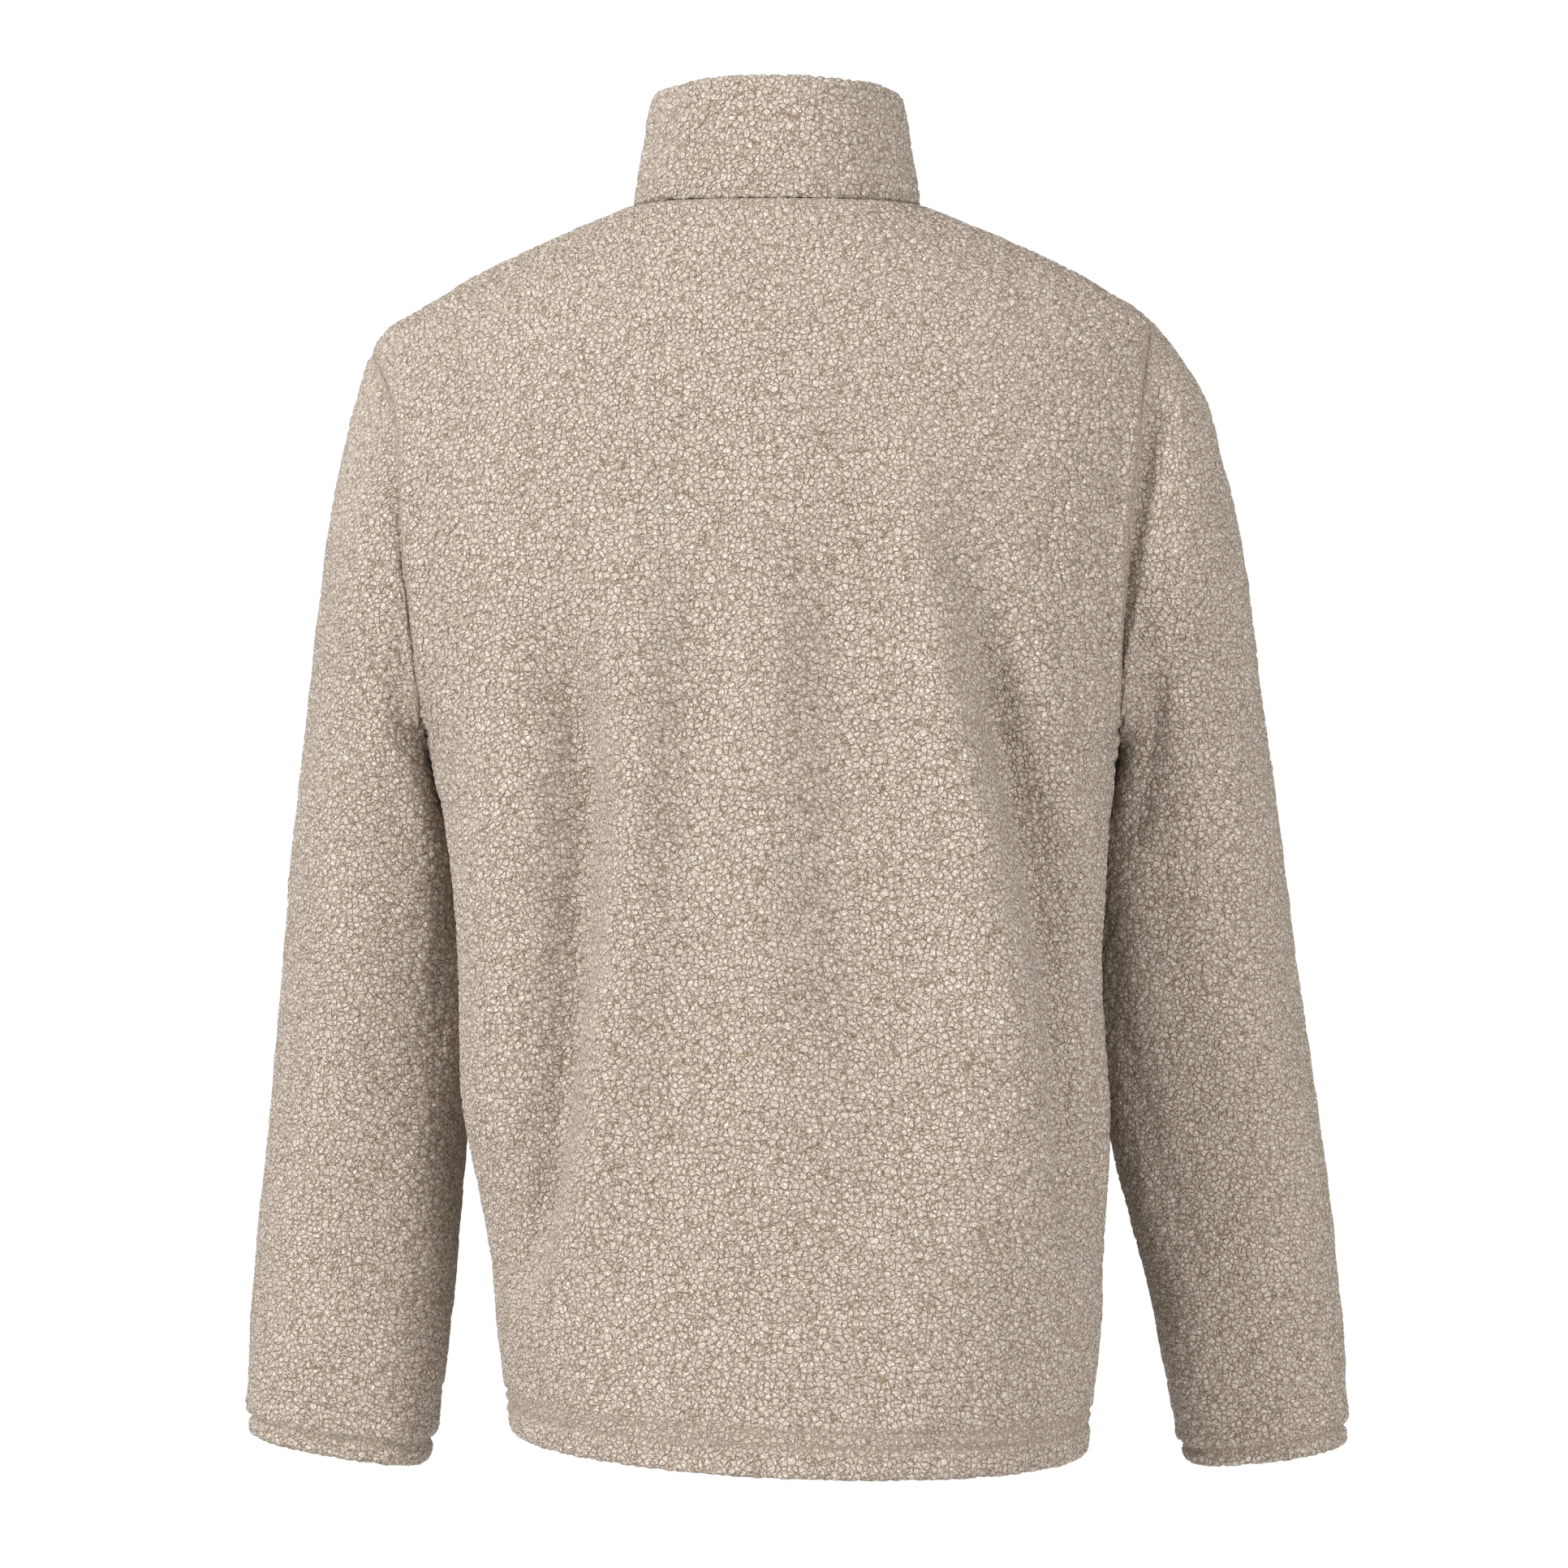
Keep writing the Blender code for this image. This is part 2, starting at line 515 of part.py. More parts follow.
# Fronts: one panel each side, from the side seam to the zip, with a column where the zip's tape ends behind them
front_edge = side_turn(body_rows, 1)
tape_edge = centre_turn(FACE_EDGE, body_rows)
opening_edge = centre_turn(ZIP_OPENING / 2, body_rows)
share = np.linspace(0, 1, FRONT_COLUMNS)[None, :]
near = np.maximum(1 - share / (1 - EVEN_SHARE), 0)
front_turn = 1 + share * (tape_edge[:, None] - 1) + near * (front_edge[:, None] - 1)
front_turn = np.concatenate([front_turn, opening_edge[:, None]], axis=1)
left_front = body_panel("left_front", front_turn, plain_material("left_front_fleece", OATMEAL, 0.9))
right_front = body_panel("right_front", -front_turn, plain_material("right_front_fleece", OATMEAL, 0.9))


def sleeve_piece(name, side, material):
    """A sleeve from its armhole seam to its cuff."""
    end = (SLEEVE_LEFT if side > 0 else SLEEVE_RIGHT)["along"][-1]
    seam_rows = [0.0, 0.012, 0.028, 0.050, 0.078, 0.112, 0.150]
    cuff_rows = [CUFF_DEPTH + 0.008, CUFF_DEPTH - 0.002, CUFF_ROWS[0], 0.006, 0.0015, 0.0]
    rows = np.concatenate([seam_rows, np.linspace(0.190, end - 0.062, 9), end - np.array(cuff_rows)])
    around, on_body, on_sleeve, off = SEAMS[side]
    face = sleeve(side, around[None, :], rows[:, None])
    inward = np.empty(face.shape)

    def form(around, along):
        return sleeve(side, around, along)

    grid_around, grid_along = np.broadcast_arrays(around[None, :], rows[:, None])
    double = step(grid_along, end - CUFF_DEPTH - 0.004, end - CUFF_DEPTH)
    depth = WALL + (HEM_WALL - WALL) * double
    out = normals(form, grid_around, grid_along, -side)
    inward[1:] = -(out * depth[..., None])[1:]
    inward[0] = mitre(on_sleeve, on_body, WALL)
    folded = 1 - step((on_sleeve * on_body).sum(-1, keepdims=True), -0.2, 0.6)
    face[0] += 1.2 * SEAM * (off + on_body * folded)
    outer = face + out * edge_height(end - grid_along, CUFF_ROWS)[..., None]
    return cloth_wall(name, outer, face + inward, material, tube=True, flip=side > 0)


left_sleeve = sleeve_piece("left_sleeve", 1, plain_material("left_sleeve_fleece", OATMEAL, 0.9))
right_sleeve = sleeve_piece("right_sleeve", -1, plain_material("right_sleeve_fleece", OATMEAL, 0.9))

# Stand collar: a folded strip round the neckline, open at the zip and rounded along its top edge. Its columns are
# those of the panels that it is sewn to.
up_rows = np.array([0.0, 0.020, 0.040, 0.058, 0.0640, COLLAR_UP])
neck_front = front_turn[0, 1:]
neck_turn = np.concatenate([-neck_front[::-1], back_turn[0], neck_front])
collar_turn = np.repeat(neck_turn[None, :], len(up_rows), axis=0)
collar_turn[:, -2] = centre_turn(FACE_EDGE, up_rows, COLLAR)
collar_turn[:, -1] = centre_turn(ZIP_OPENING / 2, up_rows, COLLAR)
collar_turn[:, :2] = -collar_turn[:, :-3:-1]
collar_out = collar_form(collar_turn, up_rows[:, None])
collar_out_way = normals(collar_form, collar_turn, np.broadcast_to(up_rows[:, None], collar_turn.shape), -1)
beside_zip = step(collar_turn[:, -2:-1] - np.abs(collar_turn), 0, 0.25)
fold_over = 1 - 0.55 * step(up_rows, 0.061, COLLAR_UP)[:, None]
collar_depth = WALL + (COLLAR_WALL * fold_over - WALL) * beside_zip
collar_in = -collar_out_way * collar_depth[..., None]
on_body, on_collar = neck_mitre(collar_turn[0])
collar_in[0] = mitre(on_collar, on_body, collar_depth[0][:, None])
collar_out[0] += unit(collar_out[1] - collar_out[0]) * SEAM * 1.3
collar_fleece = plain_material("collar_fleece", OATMEAL, 0.9)
collar = cloth_wall("stand_collar", collar_out, collar_out + collar_in, collar_fleece, flip=True)


# Zip: tapes behind the fronts and the collar's ends, and the closed chain between them. Each follows the points of
# what it is sewn to, moved in.
body_up = body_rows[(body_rows > 0.001) & (body_rows < HEM_DOWN - 0.003)][::-1]
collar_zip_rows = np.array([0.020, 0.040, 0.058])


def behind_front(edge, rows, depth):
    """A line down the fronts at this distance from the middle, this far below the face of the pile."""
    turn = np.sign(edge) * centre_turn(abs(edge), rows)
    return body(turn, rows) - normals(body, turn, rows) * depth


def zip_grid(edges, depth, low):
    """Such lines from this far above the hem to the collar's top."""
    rows = np.concatenate([[HEM_DOWN - low], body_up[body_up < HEM_DOWN - low - 0.0015]])
    grid = []
    for edge in edges:
        turn = np.sign(edge) * centre_turn(abs(edge), np.array([0.0]), COLLAR)
        bend = body(turn, 0.0) + mitre(*neck_mitre(turn), depth)
        turn = np.sign(edge) * centre_turn(abs(edge), collar_zip_rows, COLLAR)
        top = collar_form(turn, collar_zip_rows) - normals(collar_form, turn, collar_zip_rows, -1) * depth
        grid.append(np.concatenate([behind_front(edge, rows, depth), bend, top]))
    return np.stack(grid, axis=1)


TAPE_FACE = WALL + TAPE_BEHIND
CHAIN_BACK = TAPE_FACE - CHAIN_OFF_TAPE
CHAIN_FACE = CHAIN_BACK - CHAIN_THICK
tape_cloth = plain_material("zip_tape", (0.42, 0.35, 0.28), 0.85)
for name, side in (("zip_tape_left", 1), ("zip_tape_right", -1)):
    edges = sorted((side * TAPE_SPLIT, side * TAPE_WIDTH))
    face = zip_grid(edges, TAPE_FACE, 0.006)
    rear = zip_grid(edges, TAPE_FACE + TAPE_THICK, 0.006)
    cloth_wall(name, face, rear, tape_cloth)

chain_plastic = plain_material("zip_teeth", (0.36, 0.29, 0.23), 0.5)
chain_edges = (-CHAIN_WIDTH / 2, CHAIN_WIDTH / 2)
chain_face = zip_grid(chain_edges, CHAIN_FACE, ZIP_LOW_END)
chain_back = zip_grid(chain_edges, CHAIN_BACK, ZIP_LOW_END)
cloth_wall("zip_chain", chain_face, chain_back, chain_plastic)

# Box at the foot of the zip, which the chain's pin goes into
box_rows = np.array([HEM_DOWN - 0.0055, HEM_DOWN - 0.0115, HEM_DOWN - ZIP_LOW_END + 2 * SEAM])
box_edges = (-0.0037, 0.0037)
box_face = np.stack([behind_front(edge, box_rows, 0.0010) for edge in box_edges], axis=1)
box_back = np.stack([behind_front(edge, box_rows, CHAIN_BACK) for edge in box_edges], axis=1)
cloth_wall("zip_box", box_face, box_back, plain_material("zip_box_plastic", (0.36, 0.29, 0.23), 0.5))


def frame_at(turn, up, depth):
    """A frame on the collar's opening: X across, Y into the cloth, Z up the line."""
    place = (np.array([turn]), np.array([up]))
    out = normals(collar_form, *place, -1)[0]
    across = np.array([1.0, 0.0, 0.0])
    inward = unit(across * out[0] - out)
    origin = collar_form(*place)[0] + inward * depth
    frame = np.column_stack([across, inward, np.cross(across, inward), origin])
    return Matrix(frame.tolist() + [[0, 0, 0, 1]])


def box_mesh(name, low, high, material):
    """A plain box between two corners."""
    corners = [(x, y, z) for x in (low[0], high[0]) for y in (low[1], high[1]) for z in (low[2], high[2])]
    faces = [(0, 1, 3, 2), (4, 6, 7, 5), (0, 4, 5, 1), (2, 3, 7, 6), (0, 2, 6, 4), (1, 5, 7, 3)]
    box = add_mesh(name, corners, faces, material)
    box.data.polygons.foreach_set("use_smooth", [False] * 6)
    return box


def combine(target, other, operation):
    """Adds one box to another, or cuts it out. The second stays as a helper."""
    change = target.modifiers.new(other.name, "BOOLEAN")
    change.object = other
    change.operation = operation
    change.solver = "EXACT"
    other.hide_render = True
    other.display_type = "WIRE"


# Slider: a plate over the chain's top with a bridge on it, where the pull tab hangs
SLIDER_UP = 0.050
PLATE_FACE = -0.0018
BRIDGE_FACE = -0.0050
zip_metal = plain_material("zip_slider_metal", (0.42, 0.38, 0.33), 0.35, 1.0)
on_chain = frame_at(2.0, SLIDER_UP, CHAIN_FACE)
slider = box_mesh("zip_slider", (-0.0041, PLATE_FACE, -0.0052), (0.0041, -0.0003, 0.0052), zip_metal)
bridge = box_mesh("bridge_helper", (-0.0011, BRIDGE_FACE, -0.0038), (0.0011, -0.0012, 0.0038), zip_metal)
window = box_mesh("bridge_window_helper", (-0.0020, -0.0041, -0.0028), (0.0020, -0.0014, 0.0028), zip_metal)
combine(bridge, window, "DIFFERENCE")
combine(slider, bridge, "UNION")
for obj in (slider, bridge, window):
    obj.matrix_world = on_chain

# Pull tab: a flat bar whose top bar runs under the bridge and turns there
TAB_LENGTH = 0.0260
TAB_BAR = 0.0007
pull_metal = plain_material("zip_pull_metal", (0.42, 0.38, 0.33), 0.35, 1.0)
pull = box_mesh("zip_pull", (-0.0032, -TAB_BAR, -TAB_LENGTH), (0.0032, TAB_BAR, TAB_BAR), pull_metal)
hole = box_mesh("pull_hole_helper", (-0.0015, -0.0030, -0.0058), (0.0015, 0.0030, -TAB_BAR), pull_metal)
combine(pull, hole, "DIFFERENCE")
for obj in (pull, hole):
    obj.matrix_world = on_chain @ Matrix.Translation((0, -0.0030, -0.0015))
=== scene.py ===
"""Sherpa fleece jacket with a stand collar, hollow and in its worn form, seen from behind.

Metres, in the frame of the solids: Z is 0 at the centre back of the neck seam, +X is the wearer's left and
the front is towards -Y.
"""

import bpy
import numpy as np
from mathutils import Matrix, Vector, kdtree


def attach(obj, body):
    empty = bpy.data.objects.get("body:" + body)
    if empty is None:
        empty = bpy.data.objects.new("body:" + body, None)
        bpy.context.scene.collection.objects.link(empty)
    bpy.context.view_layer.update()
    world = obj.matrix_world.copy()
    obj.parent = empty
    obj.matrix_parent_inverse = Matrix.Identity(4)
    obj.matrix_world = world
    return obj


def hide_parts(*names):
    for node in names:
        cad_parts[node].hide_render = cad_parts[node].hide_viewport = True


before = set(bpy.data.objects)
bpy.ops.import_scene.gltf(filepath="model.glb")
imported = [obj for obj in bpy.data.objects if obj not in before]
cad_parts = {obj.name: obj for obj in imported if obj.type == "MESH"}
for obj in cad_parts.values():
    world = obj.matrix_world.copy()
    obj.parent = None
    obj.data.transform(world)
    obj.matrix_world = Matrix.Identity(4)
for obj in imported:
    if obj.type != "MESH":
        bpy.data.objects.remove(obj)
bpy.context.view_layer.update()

# Back panel
# The real one is a single cut of knitted sherpa fleece, from side seam to side seam and from the neck to a
# hem that is turned up and stitched in two rows. Its armhole edges are sewn to the sleeves.

# Rings of the body from the neckline down to the hem. down is the way along the side, half_width and the y
# columns are the ring's size in plan, mid_width is the half width that its quarter points follow, full_
# says how boxed each half is, shift moves the ring sideways and lean moves its centre front.
RING_COLUMNS = (
    "down", "z_side", "z_back", "z_front", "half_width", "mid_width", "y_back", "y_wide", "y_front",
    "full_back", "full_front", "shift", "lean",
)


def table(columns, rows):
    """Columns of a table by name, as arrays."""
    return {name: np.array([row[i] for row in rows]) for i, name in enumerate(columns)}


BODY = table(RING_COLUMNS, (
    (0.000, 0.0040, 0.000, -0.062, 0.0800, 0.080, 0.068, -0.004, -0.080, 0.00, 0.00, 0.000, 0.000),
    (0.052, -0.0165, -0.036, -0.092, 0.1300, 0.126, 0.088, -0.004, -0.095, 0.00, 0.00, -0.001, -0.001),
    (0.092, -0.0335, -0.068, -0.119, 0.1662, 0.157, 0.103, -0.004, -0.105, 0.00, 0.00, -0.001, -0.001),
    (0.128, -0.0515, -0.099, -0.146, 0.1965, 0.182, 0.113, -0.004, -0.112, 0.01, 0.01, -0.001, -0.002),
    (0.150, -0.0640, -0.119, -0.163, 0.2170, 0.194, 0.118, -0.004, -0.116, 0.02, 0.02, -0.001, -0.002),
    (0.166, -0.0775, -0.134, -0.175, 0.2260, 0.202, 0.121, -0.004, -0.119, 0.03, 0.02, 0.000, -0.002),
    (0.200, -0.1100, -0.166, -0.203, 0.2300, 0.214, 0.126, -0.002, -0.123, 0.05, 0.03, 0.002, -0.003),
    (0.250, -0.1600, -0.209, -0.239, 0.2250, 0.220, 0.131, 0.001, -0.126, 0.07, 0.03, 0.006, -0.004),
    (0.300, -0.2090, -0.250, -0.273, 0.2150, 0.214, 0.134, 0.006, -0.129, 0.09, 0.03, 0.006, -0.005),
    (0.340, -0.2490, -0.283, -0.302, 0.2030, 0.203, 0.135, 0.012, -0.131, 0.11, 0.03, 0.005, -0.005),
    (0.375, -0.2850, -0.313, -0.329, 0.1900, 0.190, 0.136, 0.020, -0.132, 0.13, 0.02, 0.003, -0.006),
    (0.420, -0.3300, -0.350, -0.361, 0.1820, 0.182, 0.136, 0.031, -0.131, 0.13, 0.00, 0.000, -0.007),
    (0.500, -0.4110, -0.420, -0.427, 0.1740, 0.174, 0.136, 0.043, -0.130, 0.13, 0.00, -0.004, -0.008),
    (0.600, -0.5110, -0.515, -0.517, 0.1745, 0.174, 0.141, 0.040, -0.132, 0.12, 0.00, -0.009, -0.009),
    (0.680, -0.5920, -0.594, -0.594, 0.1675, 0.167, 0.146, 0.028, -0.135, 0.10, 0.03, -0.011, -0.010),
    (0.763, -0.6760, -0.677, -0.675, 0.1590, 0.159, 0.150, 0.012, -0.138, 0.06, 0.05, -0.012, -0.011),
))
# Folds of the body, each through four points seen from behind or in front, top to bottom. height is out of the
# cloth over 0 and into it under 0, and width is its reach to each side.
BODY_FOLDS = table(("face", "height", "width", "x1", "z1", "x2", "z2", "x3", "z3", "x4", "z4"), (
    ("back", 0.0045, 0.024, 0.152, -0.285, 0.148, -0.335, 0.150, -0.415, 0.155, -0.525),
    ("back", -0.0135, 0.019, 0.114, -0.235, 0.107, -0.330, 0.113, -0.420, 0.139, -0.590),
    ("back", 0.0066, 0.024, 0.076, -0.190, 0.078, -0.285, 0.084, -0.415, 0.118, -0.600),
    ("back", -0.0026, 0.021, 0.049, -0.130, 0.043, -0.210, 0.042, -0.300, 0.046, -0.380),
    ("back", 0.0042, 0.024, 0.012, -0.170, 0.006, -0.265, 0.008, -0.350, 0.000, -0.450),
    ("back", -0.0042, 0.028, -0.030, -0.190, -0.036, -0.280, -0.044, -0.380, -0.058, -0.550),
    ("back", 0.0058, 0.020, -0.066, -0.140, -0.078, -0.230, -0.100, -0.330, -0.126, -0.480),
    ("back", -0.0110, 0.016, -0.110, -0.230, -0.131, -0.310, -0.152, -0.400, -0.172, -0.580),
    ("back", 0.0035, 0.020, 0.160, -0.140, 0.135, -0.170, 0.105, -0.185, 0.075, -0.200),
    ("back", 0.0030, 0.030, -0.080, -0.550, -0.085, -0.575, -0.088, -0.600, -0.090, -0.620),
    ("front", -0.0060, 0.020, 0.112, -0.215, 0.100, -0.300, 0.098, -0.400, 0.112, -0.540),
    ("front", 0.0045, 0.022, 0.072, -0.200, 0.068, -0.300, 0.070, -0.420, 0.088, -0.590),
    ("front", -0.0035, 0.018, 0.040, -0.260, 0.036, -0.340, 0.034, -0.420, 0.038, -0.520),
    ("front", 0.0040, 0.022, -0.064, -0.190, -0.070, -0.280, -0.078, -0.380, -0.092, -0.520),
    ("front", -0.0070, 0.018, -0.100, -0.225, -0.108, -0.310, -0.120, -0.410, -0.136, -0.560),
    ("front", -0.0035, 0.018, -0.034, -0.300, -0.034, -0.380, -0.040, -0.450, -0.052, -0.540),
))
# How softly a fold ends, how much deeper the cloth's folds are than the table says, and the turns between
# which the back's folds give way to the front's
FOLD_FADE = 0.055
FOLD_DEPTH = 1.85
SIDE_BLEND = (0.85, 1.10)
# Shoulder point, armpit and hem, along the side, and how far round the armhole reaches, in quarters
TIP_DOWN = 0.166
PIT_DOWN = 0.375
HEM_DOWN = 0.763
ARMHOLE_BACK = 0.33
ARMHOLE_FRONT = 0.34
ARMHOLE_BOX = 0.15
# The hem hangs higher on the wearer's left, and the right shoulder point sits further up
HEM_TILT = 0.036
TILT_START = 0.55
RIGHT_RISE = 0.030
# Cloth, its turned-up hem with two rows of stitching, where its top eases in, and the room at each seam
CLOTH_DEPTH = 0.0042
DOUBLE_DEPTH = 0.0070
HEM_DEPTH = 0.028
HEM_EASE = (0.002, 0.004)
HEM_ROWS = (0.0165, 0.0235)
SEAM = 0.0003
# Distance between mesh points on the face of the pile, and between rows on the plain inside
PILE_GRID = 0.0021
INSIDE_GRID = 0.022


def smooth(keys, values, at):
    """A smooth curve through the values at the keys, straight on beyond the first and the last."""
    at = np.asarray(at, float)
    slope = np.gradient(values, keys)
    inside = np.clip(at, keys[0], keys[-1])
    i = np.clip(np.searchsorted(keys, inside, side="right") - 1, 0, len(keys) - 2)
    span = keys[i + 1] - keys[i]
    s = (inside - keys[i]) / span
    found = (
        values[i] * (1 + 2 * s) * (1 - s) ** 2
        + slope[i] * span * s * (1 - s) ** 2
        + values[i + 1] * s**2 * (3 - 2 * s)
        + slope[i + 1] * span * s**2 * (s - 1)
    )
    return found + (at - inside) * np.where(at < keys[0], slope[0], slope[-1])


def step(value, start, end):
    """0 before start, 1 past end, with soft ends."""
    s = np.clip((value - start) / (end - start), 0, 1)
    return s * s * (3 - 2 * s)


def bell(distance, reach):
    """1 at no distance, falling softly to nothing past its reach."""
    return np.exp(-((distance / reach) ** 2))


def unit(vectors):
    return vectors / np.maximum(np.linalg.norm(vectors, axis=-1, keepdims=True), 1e-12)


def ring_form(rings, turn, key):
    """Points on the rings.

    turn is 0 at the centre back, 1 at the side and 2 at the centre front, and under 0 on the right.
    """
    at = {name: smooth(rings["down"], rings[name], key) for name in RING_COLUMNS[1:]}
    angle = np.abs(turn) * np.pi / 2
    sine = np.sin(angle)
    cosine = np.cos(angle)
    back = np.abs(turn) <= 1
    full = np.where(back, at["full_back"], at["full_front"])
    reach = np.where(back, at["y_back"] - at["y_wide"], at["y_wide"] - at["y_front"])
    z_middle = np.where(back, at["z_back"], at["z_front"])
    width = at["mid_width"] + (at["half_width"] - at["mid_width"]) * sine**8
    middle = np.where(back, at["shift"], at["lean"] + (at["shift"] - at["lean"]) * sine**2)
    x = middle + np.sign(turn) * width * sine * (1 + full * cosine**2)
    y = at["y_wide"] + reach * cosine * (1 + full * sine**2)
    z = at["z_side"] + (z_middle - at["z_side"]) * cosine**2
    return np.stack([x, y, z], axis=-1)


def body_form(turn, down):
    """The body without its folds."""
    points = ring_form(BODY, turn, down)
    points[..., 2] += HEM_TILT * points[..., 0] * step(down, TILT_START, HEM_DOWN)
    return points


def fold_height(turn, points):
    """Height of the body's folds over its plain form."""
    height = 0.0
    back_share = 1 - step(np.abs(turn), *SIDE_BLEND)
    for i, face in enumerate(BODY_FOLDS["face"]):
        xs = np.array([BODY_FOLDS[f"x{k}"][i] for k in (4, 3, 2, 1)])
        zs = np.array([BODY_FOLDS[f"z{k}"][i] for k in (4, 3, 2, 1)])
        z = points[..., 2]
        across = points[..., 0] - smooth(zs, xs, np.clip(z, zs[0], zs[-1]))
        length = step(z, zs[0] - FOLD_FADE / 2, zs[0] + FOLD_FADE)
        length = length * (1 - step(z, zs[-1] - FOLD_FADE, zs[-1] + FOLD_FADE / 2))
        share = back_share if face == "back" else 1 - back_share
        height = height + BODY_FOLDS["height"][i] * bell(across, BODY_FOLDS["width"][i]) * length * share
    return height * FOLD_DEPTH


def outward(form, around, along, flip=1):
    """Outward directions of a form, from its slopes either way."""
    nudge_around = 0.0015
    nudge_along = 0.0006
    slope_around = form(around + nudge_around, along) - form(around - nudge_around, along)
    slope_along = form(around, along + nudge_along) - form(around, along - nudge_along)
    return unit(np.cross(slope_around, slope_along)) * flip


def body(turn, down):
    """The face of the body with its folds."""
    turn, down = np.broadcast_arrays(np.asarray(turn, float), np.asarray(down, float))
    points = body_form(turn, down)
    return points + outward(body_form, turn, down) * fold_height(turn, points)[..., None]


def slanted(turn, down):
    """The row that starts at this way down, raised towards the right shoulder."""
    rise = RIGHT_RISE * np.where(down < TIP_DOWN, down / TIP_DOWN, 1 - step(down, TIP_DOWN, PIT_DOWN))
    return down - rise * np.where(turn < 0, np.sin(np.abs(turn) * np.pi / 2) ** 2, 0)


def armhole_turn(angle, reach):
    """How far from the side line the armhole's edge runs, at an angle from its top (0) to its bottom (pi)."""
    return reach * np.sin(angle) * (1 + ARMHOLE_BOX * np.cos(angle) ** 2)


def armhole_down(angle):
    """How far down the side the armhole's edge is at an angle from its top (0) to its bottom (pi)."""
    return TIP_DOWN + (PIT_DOWN - TIP_DOWN) * (1 - np.cos(angle)) / 2


def armhole_angle(down):
    """The angle from the armhole's top (0) to its bottom (pi) this far down the side."""
    return np.arccos(1 - 2 * np.clip((down - TIP_DOWN) / (PIT_DOWN - TIP_DOWN), 0, 1))


def side_turn(rows, gap_side):
    """The turn of a panel's edge in each row: the side or shoulder seam, or the armhole between them."""
    inside = (rows > TIP_DOWN) & (rows < PIT_DOWN)
    angle = armhole_angle(rows)
    reach = ARMHOLE_BACK if gap_side < 0 else ARMHOLE_FRONT
    nudge = 0.01
    speed = np.linalg.norm(body(1 + nudge * gap_side, rows) - body(1.0, rows), axis=-1) / nudge
    seam = SEAM / 2 / speed
    return 1 + gap_side * np.where(inside, armhole_turn(angle, reach), seam)


def edge_rows(end, radius, steps):
    """A folded edge in side view: how far along and how deep each row of its round turn lies."""
    turn = np.linspace(0, np.pi, steps + 1)[1:]
    return end - radius + radius * np.sin(turn), radius * (1 - np.cos(turn))


def grid_out(points, flip):
    """Outward directions of a grid of points, from its own slopes."""
    across = np.gradient(points, axis=1)
    along = np.gradient(points, axis=0)
    return unit(np.cross(across, along)) * flip


def linked(name, data):
    """A new object in the scene."""
    obj = bpy.data.objects.new(name, data)
    bpy.context.scene.collection.objects.link(obj)
    return obj


def shell(name, points, pile, outer_rows, tube, flip):
    """A closed sheet of cloth from a grid of points.

    The rows run down its face, round its edge and back up inside. The sides of an open sheet are closed
    between the face's rows and the inside's. pile is how much of the pile stands at each point, and is kept
    on the mesh with the point's own place.
    """
    rows, columns = points.shape[:2]
    last = columns if tube else columns - 1
    grid = np.arange(rows * columns).reshape(rows, columns)
    right = np.roll(grid, -1, axis=1)
    after = np.roll(grid, -1, axis=0)
    corner = np.roll(after, -1, axis=1)
    quads = np.stack([grid, right, corner, after], axis=-1)[:, :last].reshape(-1, 4)
    faces = quads.tolist()
    if not tube:
        inner = np.arange(outer_rows, rows)
        shares = np.linalg.norm(points[inner, 0] - points[outer_rows, 0], axis=-1)
        lengths = np.linalg.norm(points[:outer_rows, 0] - points[outer_rows, 0], axis=-1)
        cuts = [int(np.argmin(np.abs(lengths - s))) for s in shares[:-1]] + [0]
        spans = zip(inner, inner[1:], cuts, cuts[1:])
        rings = [[*range(high, low + 1), a, b] for a, b, low, high in spans]
        if outer_rows - cuts[0] > 1:
            rings.append(range(cuts[0], outer_rows + 1))
        for column, order in ((0, 1), (columns - 1, -1)):
            faces += [[int(grid[r, column]) for r in ring][::order] for ring in rings]
    if flip:
        faces = [face[::-1] for face in faces]
    mesh = bpy.data.meshes.new(name)
    mesh.from_pydata(points.reshape(-1, 3).tolist(), [], faces)
    mesh.attributes.new("pile", "FLOAT", "POINT").data.foreach_set("value", pile.ravel())
    mesh.attributes.new("pile_place", "FLOAT_VECTOR", "POINT").data.foreach_set("vector", points.ravel())
    mesh.polygons.foreach_set("use_smooth", [True] * len(mesh.polygons))
    mesh.update()
    return linked(name, mesh)


def sewn(points, edges, shares):
    """How far the pile is drawn in beside sewn edges, and how far each point lies from them.

    shares says how much each point of an edge draws in: a seam that lies in a deep fold doesn't show.
    """
    edges = np.concatenate([edge.reshape(-1, 3) for edge in edges])
    shares = np.concatenate(shares)
    tree = kdtree.KDTree(len(edges))
    for i, point in enumerate(edges):
        tree.insert(point, i)
    tree.balance()
    found = [tree.find(point)[1:] for point in points.reshape(-1, 3)]
    nearest = np.array([i for i, _ in found]).reshape(points.shape[:2])
    distance = np.array([d for _, d in found]).reshape(points.shape[:2])
    return SEAM_SINK * shares[nearest] * bell(distance, SEAM_REACH), distance


def armhole_share(angle):
    """How much the armhole's seam draws in at an angle: fully at its top, while pile fills its lower half."""
    return 1 - ARMHOLE_FILL * step(angle, ARMHOLE_OPEN, ARMHOLE_FILLED)


def stitched(edge_distance, rows, sink):
    """How far the pile is drawn in along rows of stitching."""
    return sum(sink * bell(edge_distance - row, STITCH_REACH) for row in rows)


